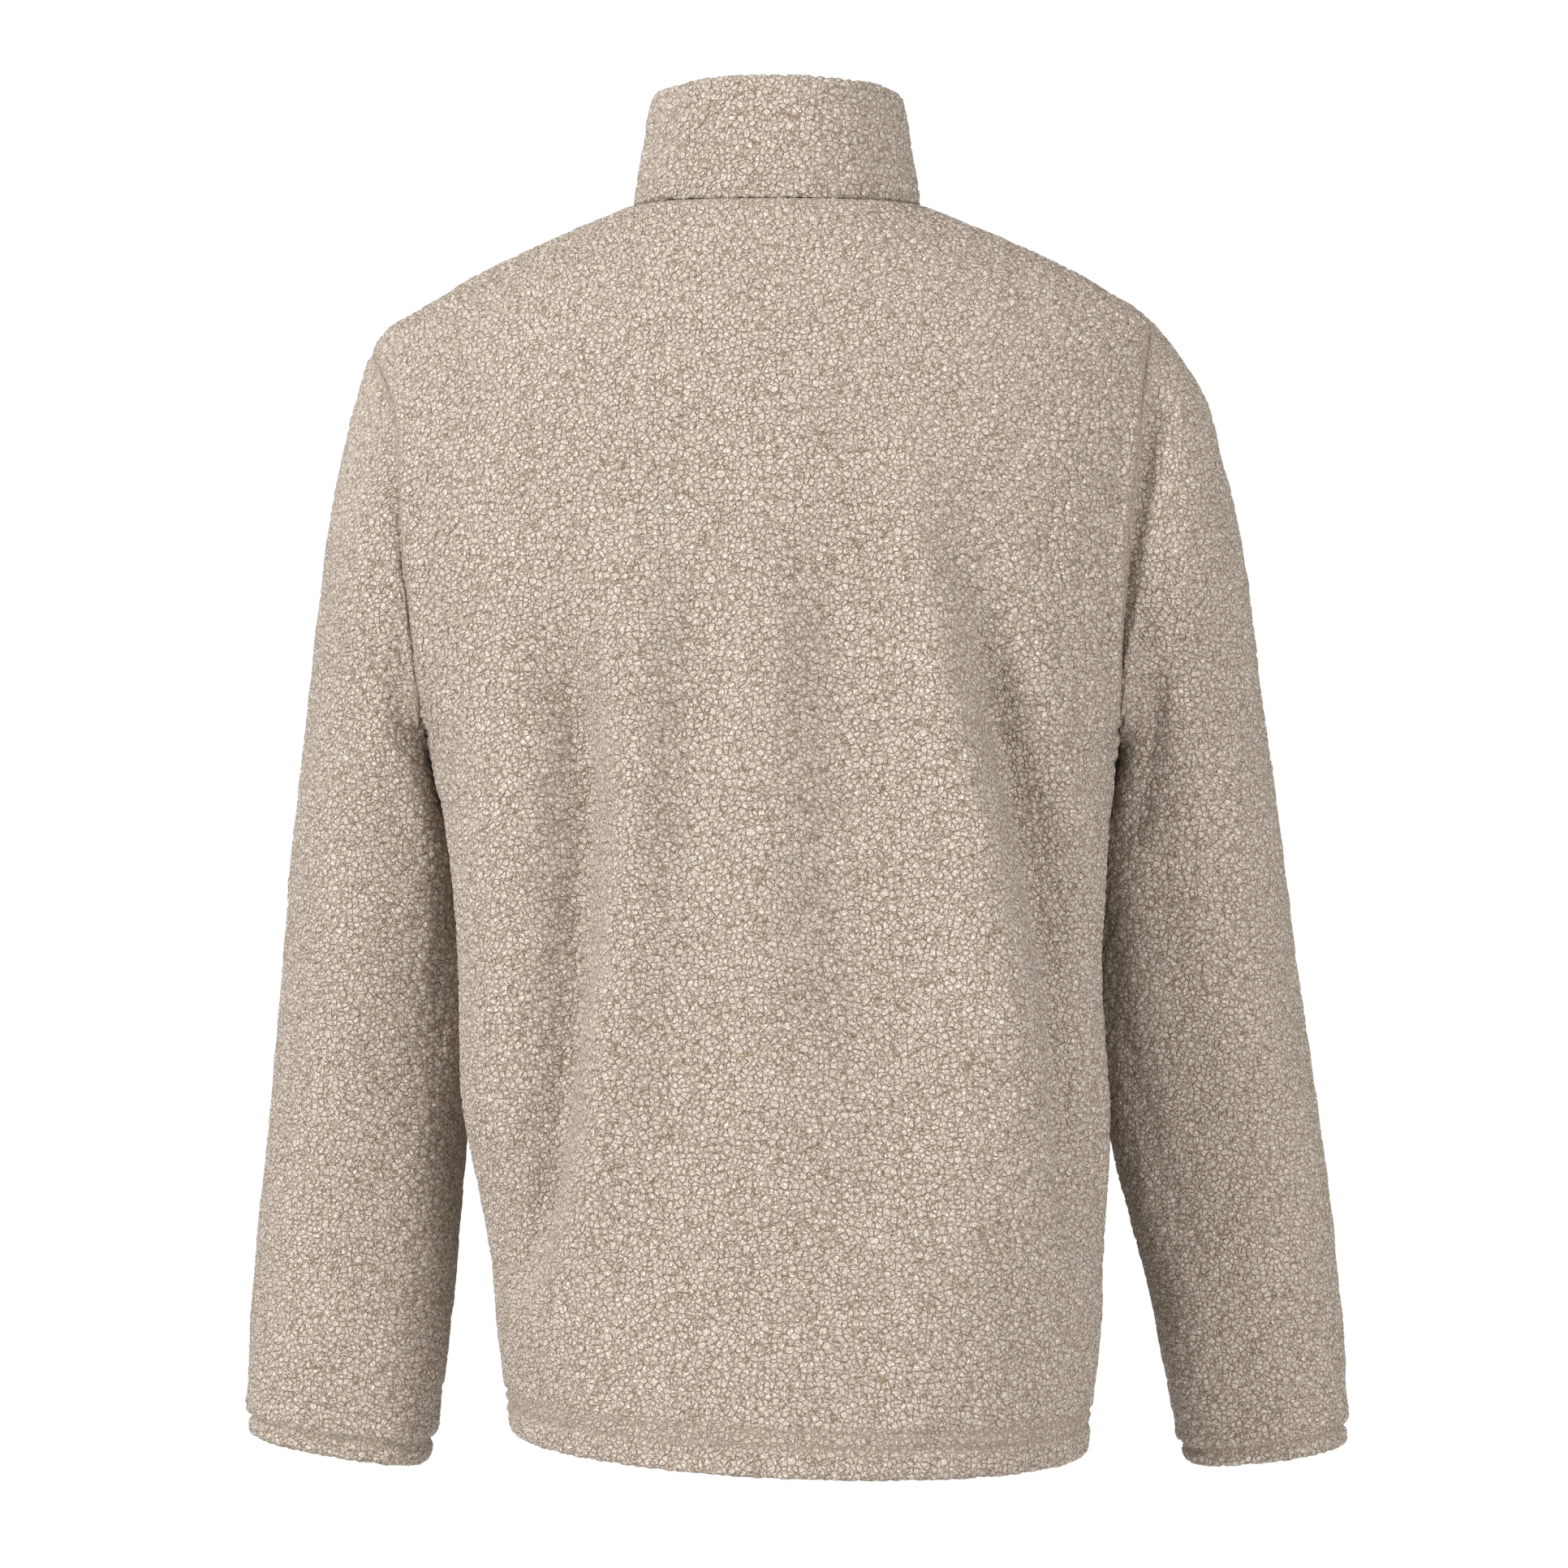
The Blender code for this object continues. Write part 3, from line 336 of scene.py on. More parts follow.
def body_rows():
    """Rows from the neck to the hem, with the armhole's own between the shoulder point and the armpit."""
    angle = np.linspace(0, np.pi, 400)
    down = armhole_down(angle)
    across = armhole_turn(angle, ARMHOLE_BACK) * QUARTER
    lengths = np.concatenate([[0], np.cumsum(np.hypot(np.diff(down), np.diff(across)))])
    face_end = HEM_DOWN - DOUBLE_DEPTH / 2
    shoulder = np.linspace(0, TIP_DOWN, int(TIP_DOWN / PILE_GRID), endpoint=False)
    beside_armhole = np.interp(np.linspace(0, lengths[-1], int(lengths[-1] / PILE_GRID)), lengths, down)
    side = np.linspace(PIT_DOWN, face_end, int((face_end - PIT_DOWN) / PILE_GRID))
    return np.concatenate([shoulder, beside_armhole[:-1], side])


def rows_to_edge(face_rows, end, count):
    """The face's rows and a few more, on to the edge itself. The turn round the edge is measured between
    them."""
    return np.concatenate([face_rows, np.linspace(face_rows[-1], end, count + 1)[1:]])


def inside_rows(count):
    """Rows of the face that the inside has too, from the hem or cuff up."""
    return np.arange(count - 1, 0, -int(INSIDE_GRID / PILE_GRID))[1:]


def cloth_depth(distance, double):
    """Depth of the cloth, pressed thin at this distance from a sewn edge, and thick where it lies double."""
    thin = THIN_EDGE + (1 - THIN_EDGE) * step(distance, 0, THIN_REACH)
    return (CLOTH_DEPTH + (DOUBLE_DEPTH - CLOTH_DEPTH) * double) * np.maximum(thin, double)


def folded_wall(face, plain, out, depth, rows, fold, inside, face_count):
    """Rows of points down a wall's face, round its folded edge and back up inside.

    rows says how far along each row of the grid lies, and fold how far along and how deep those round the
    edge lie.
    """
    places = np.interp(fold[0], rows, np.arange(len(rows)))
    low = np.floor(places).astype(int)
    high = np.minimum(low + 1, len(rows) - 1)
    part = (places - low)[:, None, None]
    edge = plain[low] * (1 - part) + plain[high] * part - out[low] * fold[1][:, None, None]
    return np.concatenate([face[:face_count], edge, plain[inside] - out[inside] * depth[inside][..., None]])


def standing(points, face_count, outer_rows, distance, stitching):
    """How much of the pile stands at each point: less at seams and stitching, and none inside."""
    pile = np.zeros(points.shape[:2])
    pile[:face_count] = 1 - SEAM_BARE * bell(distance, SEAM_REACH)[:face_count]
    pile[:face_count] *= 1 - STITCH_BARE * stitching[:face_count]
    pile[face_count:outer_rows] = np.linspace(1, FOLD_PILE, outer_rows - face_count)[:, None]
    return pile


def body_panel(name, turn_of):
    """A panel of the body.

    turn_of gives its grid of turns for its rows, and how near each column is to the armhole.
    """
    face_rows = body_rows()
    face_count = len(face_rows)
    fold = edge_rows(HEM_DOWN, DOUBLE_DEPTH / 2, EDGE_STEPS)
    down_rows = rows_to_edge(face_rows, HEM_DOWN, EDGE_ROWS)
    turn, nearness = turn_of(down_rows)
    # The rows crowd at the armhole's ends, so away from it they are spread evenly again
    spread = len(down_rows) - SPREAD_END
    even = np.append(np.linspace(0, down_rows[spread], spread, endpoint=False), down_rows[spread:])
    down = slanted(turn, even[:, None] + (down_rows - even)[:, None] * nearness)
    plain = body(turn, down)
    flip = turn[-1, 0] > turn[-1, -1]
    out = grid_out(plain, -1 if flip else 1)
    below_pit = step(down_rows, PIT_DOWN + SIDE_SEAM_START, PIT_DOWN + SIDE_SEAM_FULL)
    side_share = np.maximum(armhole_share(armhole_angle(down_rows)), below_pit)
    zip_share = np.ones(len(down_rows))
    shares = [zip_share if abs(turn[-1, c]) > 1.5 else side_share for c in (0, -1)]
    shares.append(np.full(turn.shape[1], NECK_SHARE))
    sunk, distance = sewn(plain, [plain[:, 0], plain[:, -1], plain[0]], shares)
    beside = np.minimum(*[np.linalg.norm(plain - plain[:, [c]], axis=-1) for c in (0, -1)])
    at_armhole = step(down, TIP_DOWN, TIP_DOWN + PUFF_START) * (1 - step(down, PIT_DOWN, PIT_DOWN + PUFF_END))
    puff = EDGE_PUFF * bell(beside - EDGE_PUFF_OFF, EDGE_PUFF_REACH) * at_armhole * (nearness > 0.5)
    stitch_dip = stitched(HEM_DOWN - down, HEM_ROWS, HEM_SINK)
    face = plain + out * (puff - sunk - stitch_dip)[..., None]
    hem_top = HEM_DOWN - HEM_DEPTH
    depth = cloth_depth(distance, step(down, hem_top - HEM_EASE[0], hem_top + HEM_EASE[1]))
    inside = np.append(inside_rows(face_count), 0)
    points = folded_wall(face, plain, out, depth, down_rows, fold, inside, face_count)
    outer_rows = face_count + len(fold[0]) - 1
    pile = standing(points, face_count, outer_rows, distance, stitch_dip / HEM_SINK)
    return shell(name, points, pile, outer_rows, tube=False, flip=flip)


def back_turns(rows):
    """Columns of the back: even over its middle, and making room for the armholes beyond."""
    share = np.linspace(-1, 1, BACK_COLUMNS)[None, :]
    beyond = np.maximum(np.abs(share) - EVEN_SHARE, 0) / (1 - EVEN_SHARE)
    edge = side_turn(rows, -1)[:, None]
    turn = np.sign(share) * (np.minimum(np.abs(share), EVEN_SHARE) + beyond * (edge - EVEN_SHARE))
    return turn, step(np.abs(share), *BACK_NEAR)


# How far pile sinks at a seam and at stitching, and to each side of it. The neck's seam sinks less.
SEAM_SINK = 0.0018
NECK_SHARE = 0.35
SEAM_REACH = 0.0030
HEM_SINK = 0.0021
STITCH_REACH = 0.0022
# Angles from the top of the armhole between which pile fills its seam, and how fully. The side seam opens
# again below the armpit.
ARMHOLE_OPEN = 0.20 * np.pi
ARMHOLE_FILLED = 0.45 * np.pi
ARMHOLE_FILL = 1.35
SIDE_SEAM_START = 0.01
SIDE_SEAM_FULL = 0.05
# How thin the cloth is pressed at a sewn edge, and how far in from it
THIN_EDGE = 0.60
THIN_REACH = 0.010
# How far the body's pile stands up beside the armhole, over the sleeve's, where its ridge runs and how it
# ends
EDGE_PUFF = 0.0022
EDGE_PUFF_OFF = 0.007
EDGE_PUFF_REACH = 0.006
PUFF_START = 0.03
PUFF_END = 0.06
# How much pile seams and stitching hold down, and how much still stands where the folded edge turns inside
SEAM_BARE = 0.8
STITCH_BARE = 0.7
FOLD_PILE = 0.2
# Rows round a folded edge, and rows of the grid from the face on to it
EDGE_STEPS = 7
EDGE_ROWS = 5
# Length of a quarter of the body, the middle share with even columns, and the columns of the back
QUARTER = 0.26
EVEN_SHARE = 0.45
BACK_COLUMNS = 214
# Shares of the back's half width between which columns pass from the middle's even rows to the armhole's
BACK_NEAR = (0.30, 0.97)
# Rows at the hem that are level all the way across
SPREAD_END = 30


def add(tree, kind, links=(), **settings):
    """Adds a node to a tree with its settings. A link is a socket with another node's output or a value."""
    made = tree.nodes.new(kind)
    for name, value in settings.items():
        setattr(made, name, value)
    for socket, value in dict(links).items():
        if isinstance(value, bpy.types.NodeSocket):
            tree.links.new(value, made.inputs[socket])
        else:
            made.inputs[socket].default_value = value
    return made


def times_plus(tree, value, factor, plus):
    """Output of a value times a factor, plus another value."""
    return add(tree, "ShaderNodeMath", {0: value, 1: factor, 2: plus}, operation="MULTIPLY_ADD").outputs[0]


def ranged(tree, value, start, end, low=0, high=1, **settings):
    """Output of a value carried from one range to another."""
    ends = {"Value": value, "From Min": start, "From Max": end, "To Min": low, "To Max": high}
    return add(tree, "ShaderNodeMapRange", ends, **settings).outputs[0]


def scaled(tree, vector, factor):
    """Output of a vector or colour times a factor."""
    return add(tree, "ShaderNodeVectorMath", {0: vector, "Scale": factor}, operation="SCALE").outputs[0]


def mixed(tree, factor, low, high):
    """Output of a mix of two colours."""
    return add(tree, "ShaderNodeMix", {"Factor": factor, 6: low, 7: high}, data_type="RGBA").outputs[2]


def noise(tree, place, size, **settings):
    """Outputs of noise with patches of this size."""
    links = {"Vector": place, "Scale": 1 / size, **settings}
    return add(tree, "ShaderNodeTexNoise", links).outputs


def linear(hex_colour):
    """An sRGB hex colour as linear red, green, blue and alpha."""
    parts = [int(hex_colour[i : i + 2], 16) / 255 for i in (1, 3, 5)]
    return (*[c / 12.92 if c <= 0.04045 else ((c + 0.055) / 1.055) ** 2.4 for c in parts], 1.0)


def new_material(name):
    """A new material with its tree and its shader."""
    material = bpy.data.materials.new(name)
    material.use_nodes = True
    return material, material.node_tree, material.node_tree.nodes["Principled BSDF"]


# Curled pile: nubs of fibre about 3 mm apart with curls half as far apart, on tufts of about 6 mm. A swirl
# bends them out of shape, and the creases between them take this share of their size.
TUFT = 0.0060
NUB = 0.0031
CURL = 0.0017
SWIRL = 0.0040
SWIRL_BEND = 0.8
CREASE = 0.18


def pile_relief(tree, place, sizes):
    """Outputs of the pile at a place on the cloth, from crease (0) to top (1), one for each size."""
    swirl = noise(tree, place, SWIRL, Detail=3.0, Roughness=0.6)["Color"]
    centred = add(tree, "ShaderNodeVectorMath", {0: swirl, 1: (0.5,) * 3}, operation="SUBTRACT")
    bend = (SWIRL * SWIRL_BEND,) * 3
    bent = add(tree, "ShaderNodeVectorMath", {0: centred.outputs[0], 1: bend, 2: place},
               operation="MULTIPLY_ADD")
    found = []
    for size in sizes:
        edge = add(tree, "ShaderNodeTexVoronoi", {"Vector": bent.outputs[0], "Scale": 1 / size},
                   feature="DISTANCE_TO_EDGE")
        found.append(ranged(tree, edge.outputs["Distance"], 0, CREASE, interpolation_type="SMOOTHSTEP"))
    return found


def pile_tree():
    """Geometry nodes that raise the pile on the face of the cloth, with slower lumps under it."""
    tree = bpy.data.node_groups.new("sherpa_pile", "GeometryNodeTree")
    tree.interface.new_socket("Geometry", in_out="INPUT", socket_type="NodeSocketGeometry")
    tree.interface.new_socket("Geometry", in_out="OUTPUT", socket_type="NodeSocketGeometry")
    group_in = tree.nodes.new("NodeGroupInput")
    group_out = tree.nodes.new("NodeGroupOutput")
    place = add(tree, "GeometryNodeInputPosition")
    stands = add(tree, "GeometryNodeInputNamedAttribute", {"Name": "pile"}, data_type="FLOAT")
    tuft, = pile_relief(tree, place.outputs[0], (TUFT,))
    lumps = noise(tree, place.outputs[0], LUMP, Detail=1.0)[0]
    tall = times_plus(tree, tuft, TUFT_HEIGHT, -TUFT_HEIGHT * TUFT_SUNK)
    slow = times_plus(tree, lumps, LUMP_HEIGHT, -LUMP_HEIGHT / 2)
    both = add(tree, "ShaderNodeMath", {0: tall, 1: slow}, operation="ADD")
    kept = add(tree, "ShaderNodeMath", {0: both.outputs[0], 1: stands.outputs[0]}, operation="MULTIPLY")
    way = add(tree, "GeometryNodeInputNormal")
    offset = scaled(tree, way.outputs[0], kept.outputs[0])
    moved = add(tree, "GeometryNodeSetPosition", {"Geometry": group_in.outputs[0], "Offset": offset})
    tree.links.new(moved.outputs[0], group_out.inputs[0])
    return tree


# Heights of the tufts, their share under the cloth's form, and of the slower lumps, with their width
TUFT_HEIGHT = 0.0012
TUFT_SUNK = 0.8
LUMP_HEIGHT = 0.0022
LUMP = 0.020
PILE = pile_tree()

# Loose fibre over the curls, and the wide patches where the tone drifts
FIBRE = 0.0014
PATCH = 0.035
# How much each layer adds to the nubs' height, the heights that show darkest (painted shade in the creases) and
# palest (a painted highlight on the highest curls), and the relief's real height
CURL_SHARE = 0.50
TUFT_SHARE = 0.35
FIBRE_SHARE = 0.80
CREASE_SHADE_LEVEL = 0.66
TOP_HIGHLIGHT_LEVEL = 2.40
CURL_HEIGHT = 0.0014


def sherpa():
    """Sherpa fleece: knitted polyester with a curled, matted pile. It gives soft bobbles with a pale haze of
    fibre at grazing angles. Its creases are painted a darker warm brown as painted shade, and its highest curls
    paler as a painted highlight. The inside is the knitted ground, with no pile.
    """
    material, tree, shader = new_material("sherpa_fleece")
    place = add(tree, "ShaderNodeAttribute", attribute_name="pile_place").outputs["Vector"]
    stands = add(tree, "ShaderNodeAttribute", attribute_name="pile").outputs["Fac"]
    tuft, nub, curl = pile_relief(tree, place, (TUFT, NUB, CURL))
    fibre = noise(tree, place, FIBRE, Detail=2.0, Roughness=0.65)[0]
    patch = noise(tree, place, PATCH, Detail=3.0)[0]
    height = nub
    for layer, share in ((curl, CURL_SHARE), (tuft, TUFT_SHARE), (fibre, FIBRE_SHARE)):
        height = times_plus(tree, layer, share, height)
    # The ramp paints shade and light: darkest brown where the relief is low, in the creases between the nubs,
    # and palest on the highest curls as a painted highlight
    colour = add(tree, "ShaderNodeValToRGB", {"Fac": ranged(tree, height, CREASE_SHADE_LEVEL, TOP_HIGHLIGHT_LEVEL)})
    ramp = colour.color_ramp
    ramp.elements[0].color = linear("#80654b")
    ramp.elements[1].color = linear("#dbcfc4")
    ramp.elements[1].position = 1.0
    ramp.elements.new(0.30).color = linear("#b9a58f")
    ramp.elements.new(0.55).color = linear("#cfc1b3")
    shaded_tone = scaled(tree, colour.outputs[0], ranged(tree, patch, 0.3, 0.7, 0.97, 1.03))
    ground = mixed(tree, stands, linear("#b3a08c"), shaded_tone)
    bump = add(tree, "ShaderNodeBump", {"Height": height, "Strength": 1.0, "Distance": CURL_HEIGHT})
    tree.links.new(ground, shader.inputs["Base Color"])
    tree.links.new(bump.outputs[0], shader.inputs["Normal"])
    haze = {"Sheen Weight": 0.55, "Sheen Roughness": 0.45, "Sheen Tint": linear("#efe4d8")}
    for socket, value in {"Roughness": 0.95, "Specular IOR Level": 0.15, **haze}.items():
        shader.inputs[socket].default_value = value
    return material


FLEECE = sherpa()


def dress(obj, node):
    """Gives a piece of cloth its fleece and pile, and lets it stand for its solid."""
    obj.data.materials.append(FLEECE)
    obj.modifiers.new("Pile", "NODES").node_group = PILE
    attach(obj, "jacket")
    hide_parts(node)
    return obj


back = dress(body_panel("back_cloth", back_turns), "back_panel")

# Fronts
# Two mirrored cuts of the same fleece, from the side seams to the zip, with their hem turned up like the
# back's.
ZIP_OPENING = 0.0090
FRONT_COLUMNS = 116
# Shares of a front's width between which columns pass from the armhole's rows to even ones
FRONT_NEAR = (0.04, 0.75)


def centre_turn(distance, down, rings=BODY):
    """The turn that lies this distance from the centre-front line."""
    width = smooth(rings["down"], rings["mid_width"], down)
    full = smooth(rings["down"], rings["full_front"], down)
    return 2 - np.arcsin(distance / (width * (1 + full))) * 2 / np.pi


def front_turns(rows, side=1):
    """Columns of a front from its side seam to the zip, making room for the armhole."""
    share = np.linspace(0, 1, FRONT_COLUMNS)[None, :]
    near = np.maximum(1 - share / (1 - EVEN_SHARE), 0)
    edge = side_turn(rows, 1)[:, None]
    turn = 1 + share * (centre_turn(ZIP_OPENING / 2, rows)[:, None] - 1) + near * (edge - 1)
    return side * turn, 1 - step(share, *FRONT_NEAR)


left_front = dress(body_panel("left_front_cloth", front_turns), "left_front")
right_front = dress(
    body_panel("right_front_cloth", lambda rows: front_turns(rows, -1)), "right_front"
)

# Sleeves
# Each is one cut, closed along the underarm and sewn into its armhole. Its cuff is turned up and stitched once.

# Sections of a sleeve from the armhole to the cuff: its outer and its inner edge as seen from behind, how far
# forward its middle lies, and half its depth
SLEEVE_COLUMNS = ("along", "x_out", "z_out", "x_in", "z_in", "y_mid", "half_depth")
SLEEVE_LEFT = table(SLEEVE_COLUMNS, (
    (0.000, 0.2260, -0.0775, 0.1960, -0.2850, -0.002, 0.068),
    (0.040, 0.2368, -0.1140, 0.1945, -0.2910, -0.005, 0.070),
    (0.090, 0.2470, -0.1630, 0.1900, -0.3000, -0.009, 0.072),
    (0.150, 0.2558, -0.2230, 0.1840, -0.3160, -0.018, 0.071),
    (0.210, 0.2635, -0.2830, 0.1765, -0.3400, -0.027, 0.070),
    (0.280, 0.2722, -0.3530, 0.1695, -0.3780, -0.034, 0.068),
    (0.360, 0.2800, -0.4330, 0.1670, -0.4420, -0.044, 0.064),
    (0.440, 0.2880, -0.5130, 0.1757, -0.5160, -0.051, 0.060),
    (0.520, 0.2968, -0.5930, 0.1830, -0.5980, -0.058, 0.056),
    (0.580, 0.3005, -0.6500, 0.1903, -0.6600, -0.062, 0.053),
    (0.618, 0.3005, -0.6840, 0.1980, -0.7010, -0.064, 0.050),
))
SLEEVE_RIGHT = table(SLEEVE_COLUMNS, (
    (0.000, -0.2150, -0.0600, -0.1890, -0.2850, -0.002, 0.068),
    (0.040, -0.2400, -0.0960, -0.1885, -0.2910, -0.005, 0.070),
    (0.090, -0.2505, -0.1430, -0.1880, -0.3000, -0.009, 0.072),
    (0.150, -0.2617, -0.2020, -0.1845, -0.3160, -0.018, 0.071),
    (0.210, -0.2703, -0.2620, -0.1795, -0.3400, -0.028, 0.070),
    (0.290, -0.2825, -0.3420, -0.1745, -0.3780, -0.036, 0.068),
    (0.370, -0.2935, -0.4220, -0.1760, -0.4420, -0.044, 0.064),
    (0.450, -0.3060, -0.5020, -0.1880, -0.5160, -0.051, 0.060),
    (0.530, -0.3168, -0.5820, -0.2098, -0.5980, -0.058, 0.056),
    (0.590, -0.3225, -0.6420, -0.2225, -0.6600, -0.062, 0.052),
    (0.640, -0.3235, -0.6900, -0.2320, -0.7010, -0.064, 0.048),
))
# How boxed the sections are. Past this way along, the sleeves' backs are flatter towards the body, the left
# one most.
SLEEVE_FULL = 0.05
INNER_FULL_LEFT = 0.20
INNER_FULL_RIGHT = 0.12
INNER_ALONG = (0.10, 0.24)
# A fold in the sleeve along the back of its armhole seam: depths, how far it is from the seam, its reach,
# and where around the sleeve it comes and goes
SEAM_FOLD_LEFT = 0.0036
SEAM_FOLD_RIGHT = 0.0092
SEAM_FOLD_OFF = 0.0125
SEAM_FOLD_REACH = 0.0095
SEAM_FOLD_START = (0.10, 0.20)
SEAM_FOLD_END = (0.40, 0.47)
# Rows of the face that it takes, and how far along the sleeve leaves the armhole's line for its own sections
SEAM_FOLD_ROWS = 16
ARMHOLE_BLEND = 0.130
# Folds of the sleeves, from one place (around, along) to another. side is 1 on the left and -1 on the right.
SLEEVE_FOLDS = table(("side", "height", "width", "around1", "along1", "around2", "along2"), (
    (1, -0.0035, 0.040, 0.290, 0.030, 0.330, 0.170),
    (-1, -0.0065, 0.045, 0.300, 0.020, 0.345, 0.260),
    (1, -0.0030, 0.045, 0.400, 0.250, 0.330, 0.420),
    (-1, -0.0045, 0.050, 0.410, 0.300, 0.340, 0.520),
    (1, 0.0030, 0.060, 0.180, 0.200, 0.200, 0.440),
    (-1, 0.0030, 0.060, 0.170, 0.220, 0.190, 0.460),
    (1, -0.0035, 0.045, 0.700, 0.160, 0.620, 0.300),
    (-1, -0.0035, 0.045, 0.710, 0.150, 0.640, 0.320),
    (1, -0.0030, 0.040, 0.800, 0.240, 0.720, 0.330),
    (-1, -0.0030, 0.040, 0.790, 0.250, 0.700, 0.350),
))
SLEEVE_FADE = 0.040
# The cuff's turn-up, how its top eases in, and its stitching, with a band of pile that stands out over it
CUFF_DEPTH = 0.019
CUFF_EASE = 0.004
CUFF_ROWS = (0.0115,)
CUFF_SINK = 0.0030
CUFF_PUFF = 0.0016
CUFF_PUFF_UP = 0.019
CUFF_PUFF_REACH = 0.006
SLEEVE_AROUND = 164


def armhole(side, around):
    """(turn, down) on the edge of an armhole. around is 0 at the shoulder point, 0.25 at the back and 0.5
    below."""
    angle = 2 * np.pi * np.asarray(around, float)
    reach = np.where(np.sin(angle) >= 0, ARMHOLE_BACK, ARMHOLE_FRONT)
    turn = side * (1 - armhole_turn(angle, reach))
    return turn, slanted(turn, armhole_down(angle))


def sleeve_form(side, around, along):
    """A sleeve without its folds. around is 0 on top, 0.25 at the back, 0.5 at the underarm."""
    sections = SLEEVE_LEFT if side > 0 else SLEEVE_RIGHT

    def tube(around, along):
        at = {name: smooth(sections["along"], sections[name], along) for name in SLEEVE_COLUMNS[1:]}
        angle = 2 * np.pi * around
        sine = np.sin(angle)
        cosine = np.cos(angle)
        inner = step(sine, 0, 0.4) * step(-cosine, -0.2, 0.5) * step(along, *INNER_ALONG)
        full = SLEEVE_FULL + (INNER_FULL_LEFT if side > 0 else INNER_FULL_RIGHT) * inner
        major = cosine * (1 + full * sine**2) / 2
        x = (at["x_out"] + at["x_in"]) / 2 + (at["x_out"] - at["x_in"]) * major
        y = at["y_mid"] + at["half_depth"] * sine * (1 + full * cosine**2)
        z = (at["z_out"] + at["z_in"]) / 2 + (at["z_out"] - at["z_in"]) * major
        return np.stack([x, y, z], axis=-1)

    turn, down = armhole(side, around[:1])
    seam = body(turn, down) - tube(around[:1], 0 * along[:1])
    near = 1 - step(along, 0, ARMHOLE_BLEND)
    return tube(around, along) + seam * near[..., None]


def sleeve_height(side, around, along):
    """Height of a sleeve's folds over its plain form."""
    height = 0.0
    for i, fold_side in enumerate(SLEEVE_FOLDS["side"]):
        if fold_side != side:
            continue
        start = SLEEVE_FOLDS["along1"][i]
        finish = SLEEVE_FOLDS["along2"][i]
        share = np.clip((along - start) / (finish - start), 0, 1)
        line = SLEEVE_FOLDS["around1"][i] + (SLEEVE_FOLDS["around2"][i] - SLEEVE_FOLDS["around1"][i]) * share
        across = np.mod(around - line + 0.5, 1) - 0.5
        length = step(along, start - SLEEVE_FADE / 2, start + SLEEVE_FADE)
        length = length * (1 - step(along, finish - SLEEVE_FADE, finish + SLEEVE_FADE / 2))
        height = height + SLEEVE_FOLDS["height"][i] * bell(across, SLEEVE_FOLDS["width"][i]) * length
    beside = bell(along - SEAM_FOLD_OFF, SEAM_FOLD_REACH) * step(along, 0, SEAM_FOLD_OFF)
    at_back = step(around, *SEAM_FOLD_START) * (1 - step(around, *SEAM_FOLD_END))
    return height - (SEAM_FOLD_LEFT if side > 0 else SEAM_FOLD_RIGHT) * beside * at_back


def sleeve_out(points, side):
    """Outward directions of a sleeve's grid of points, which closes on itself."""
    wrapped = np.concatenate([points[:, -1:], points, points[:, :1]], axis=1)
    return grid_out(wrapped, -side)[:, 1:-1]


def sleeve_piece(name, side):
    """A sleeve from its armhole seam down its face, round the cuff's edge and back up inside."""
    end = (SLEEVE_LEFT if side > 0 else SLEEVE_RIGHT)["along"][-1]
    face_end = end - DOUBLE_DEPTH / 2
    face_count = int(face_end / PILE_GRID)
    fold = edge_rows(end, DOUBLE_DEPTH / 2, EDGE_STEPS)
    along_rows = rows_to_edge(np.linspace(0, face_end, face_count), end, EDGE_ROWS)
    around, along = np.meshgrid(np.arange(SLEEVE_AROUND) / SLEEVE_AROUND, along_rows)
    form = sleeve_form(side, around, along)
    plain = form + sleeve_out(form, side) * sleeve_height(side, around, along)[..., None]
    out = sleeve_out(plain, side)
    angle = 2 * np.pi * np.minimum(around[0], 1 - around[0])
    sunk, distance = sewn(plain, [plain[0]], [armhole_share(angle)])
    stitch_dip = stitched(end - along, CUFF_ROWS, CUFF_SINK)
    overhang = CUFF_PUFF * bell(end - along - CUFF_PUFF_UP, CUFF_PUFF_REACH)
    face = plain + out * (overhang - sunk - stitch_dip)[..., None]
    cuff_top = end - CUFF_DEPTH
    depth = cloth_depth(along, step(along, cuff_top - CUFF_EASE, cuff_top))
    inside = inside_rows(face_count)
    # Close rows inside the fold along the armhole, so that the inside follows it
    inside = np.concatenate([inside[inside > SEAM_FOLD_ROWS], np.arange(SEAM_FOLD_ROWS, -1, -2)])
    points = folded_wall(face, plain, out, depth, along_rows, fold, inside, face_count)
    outer_rows = face_count + len(fold[0]) - 1
    pile = standing(points, face_count, outer_rows, distance, stitch_dip / CUFF_SINK)
    return shell(name, points, pile, outer_rows, tube=True, flip=side > 0)


left_sleeve = dress(sleeve_piece("left_sleeve_cloth", 1), "left_sleeve")
right_sleeve = dress(sleeve_piece("right_sleeve_cloth", -1), "right_sleeve")

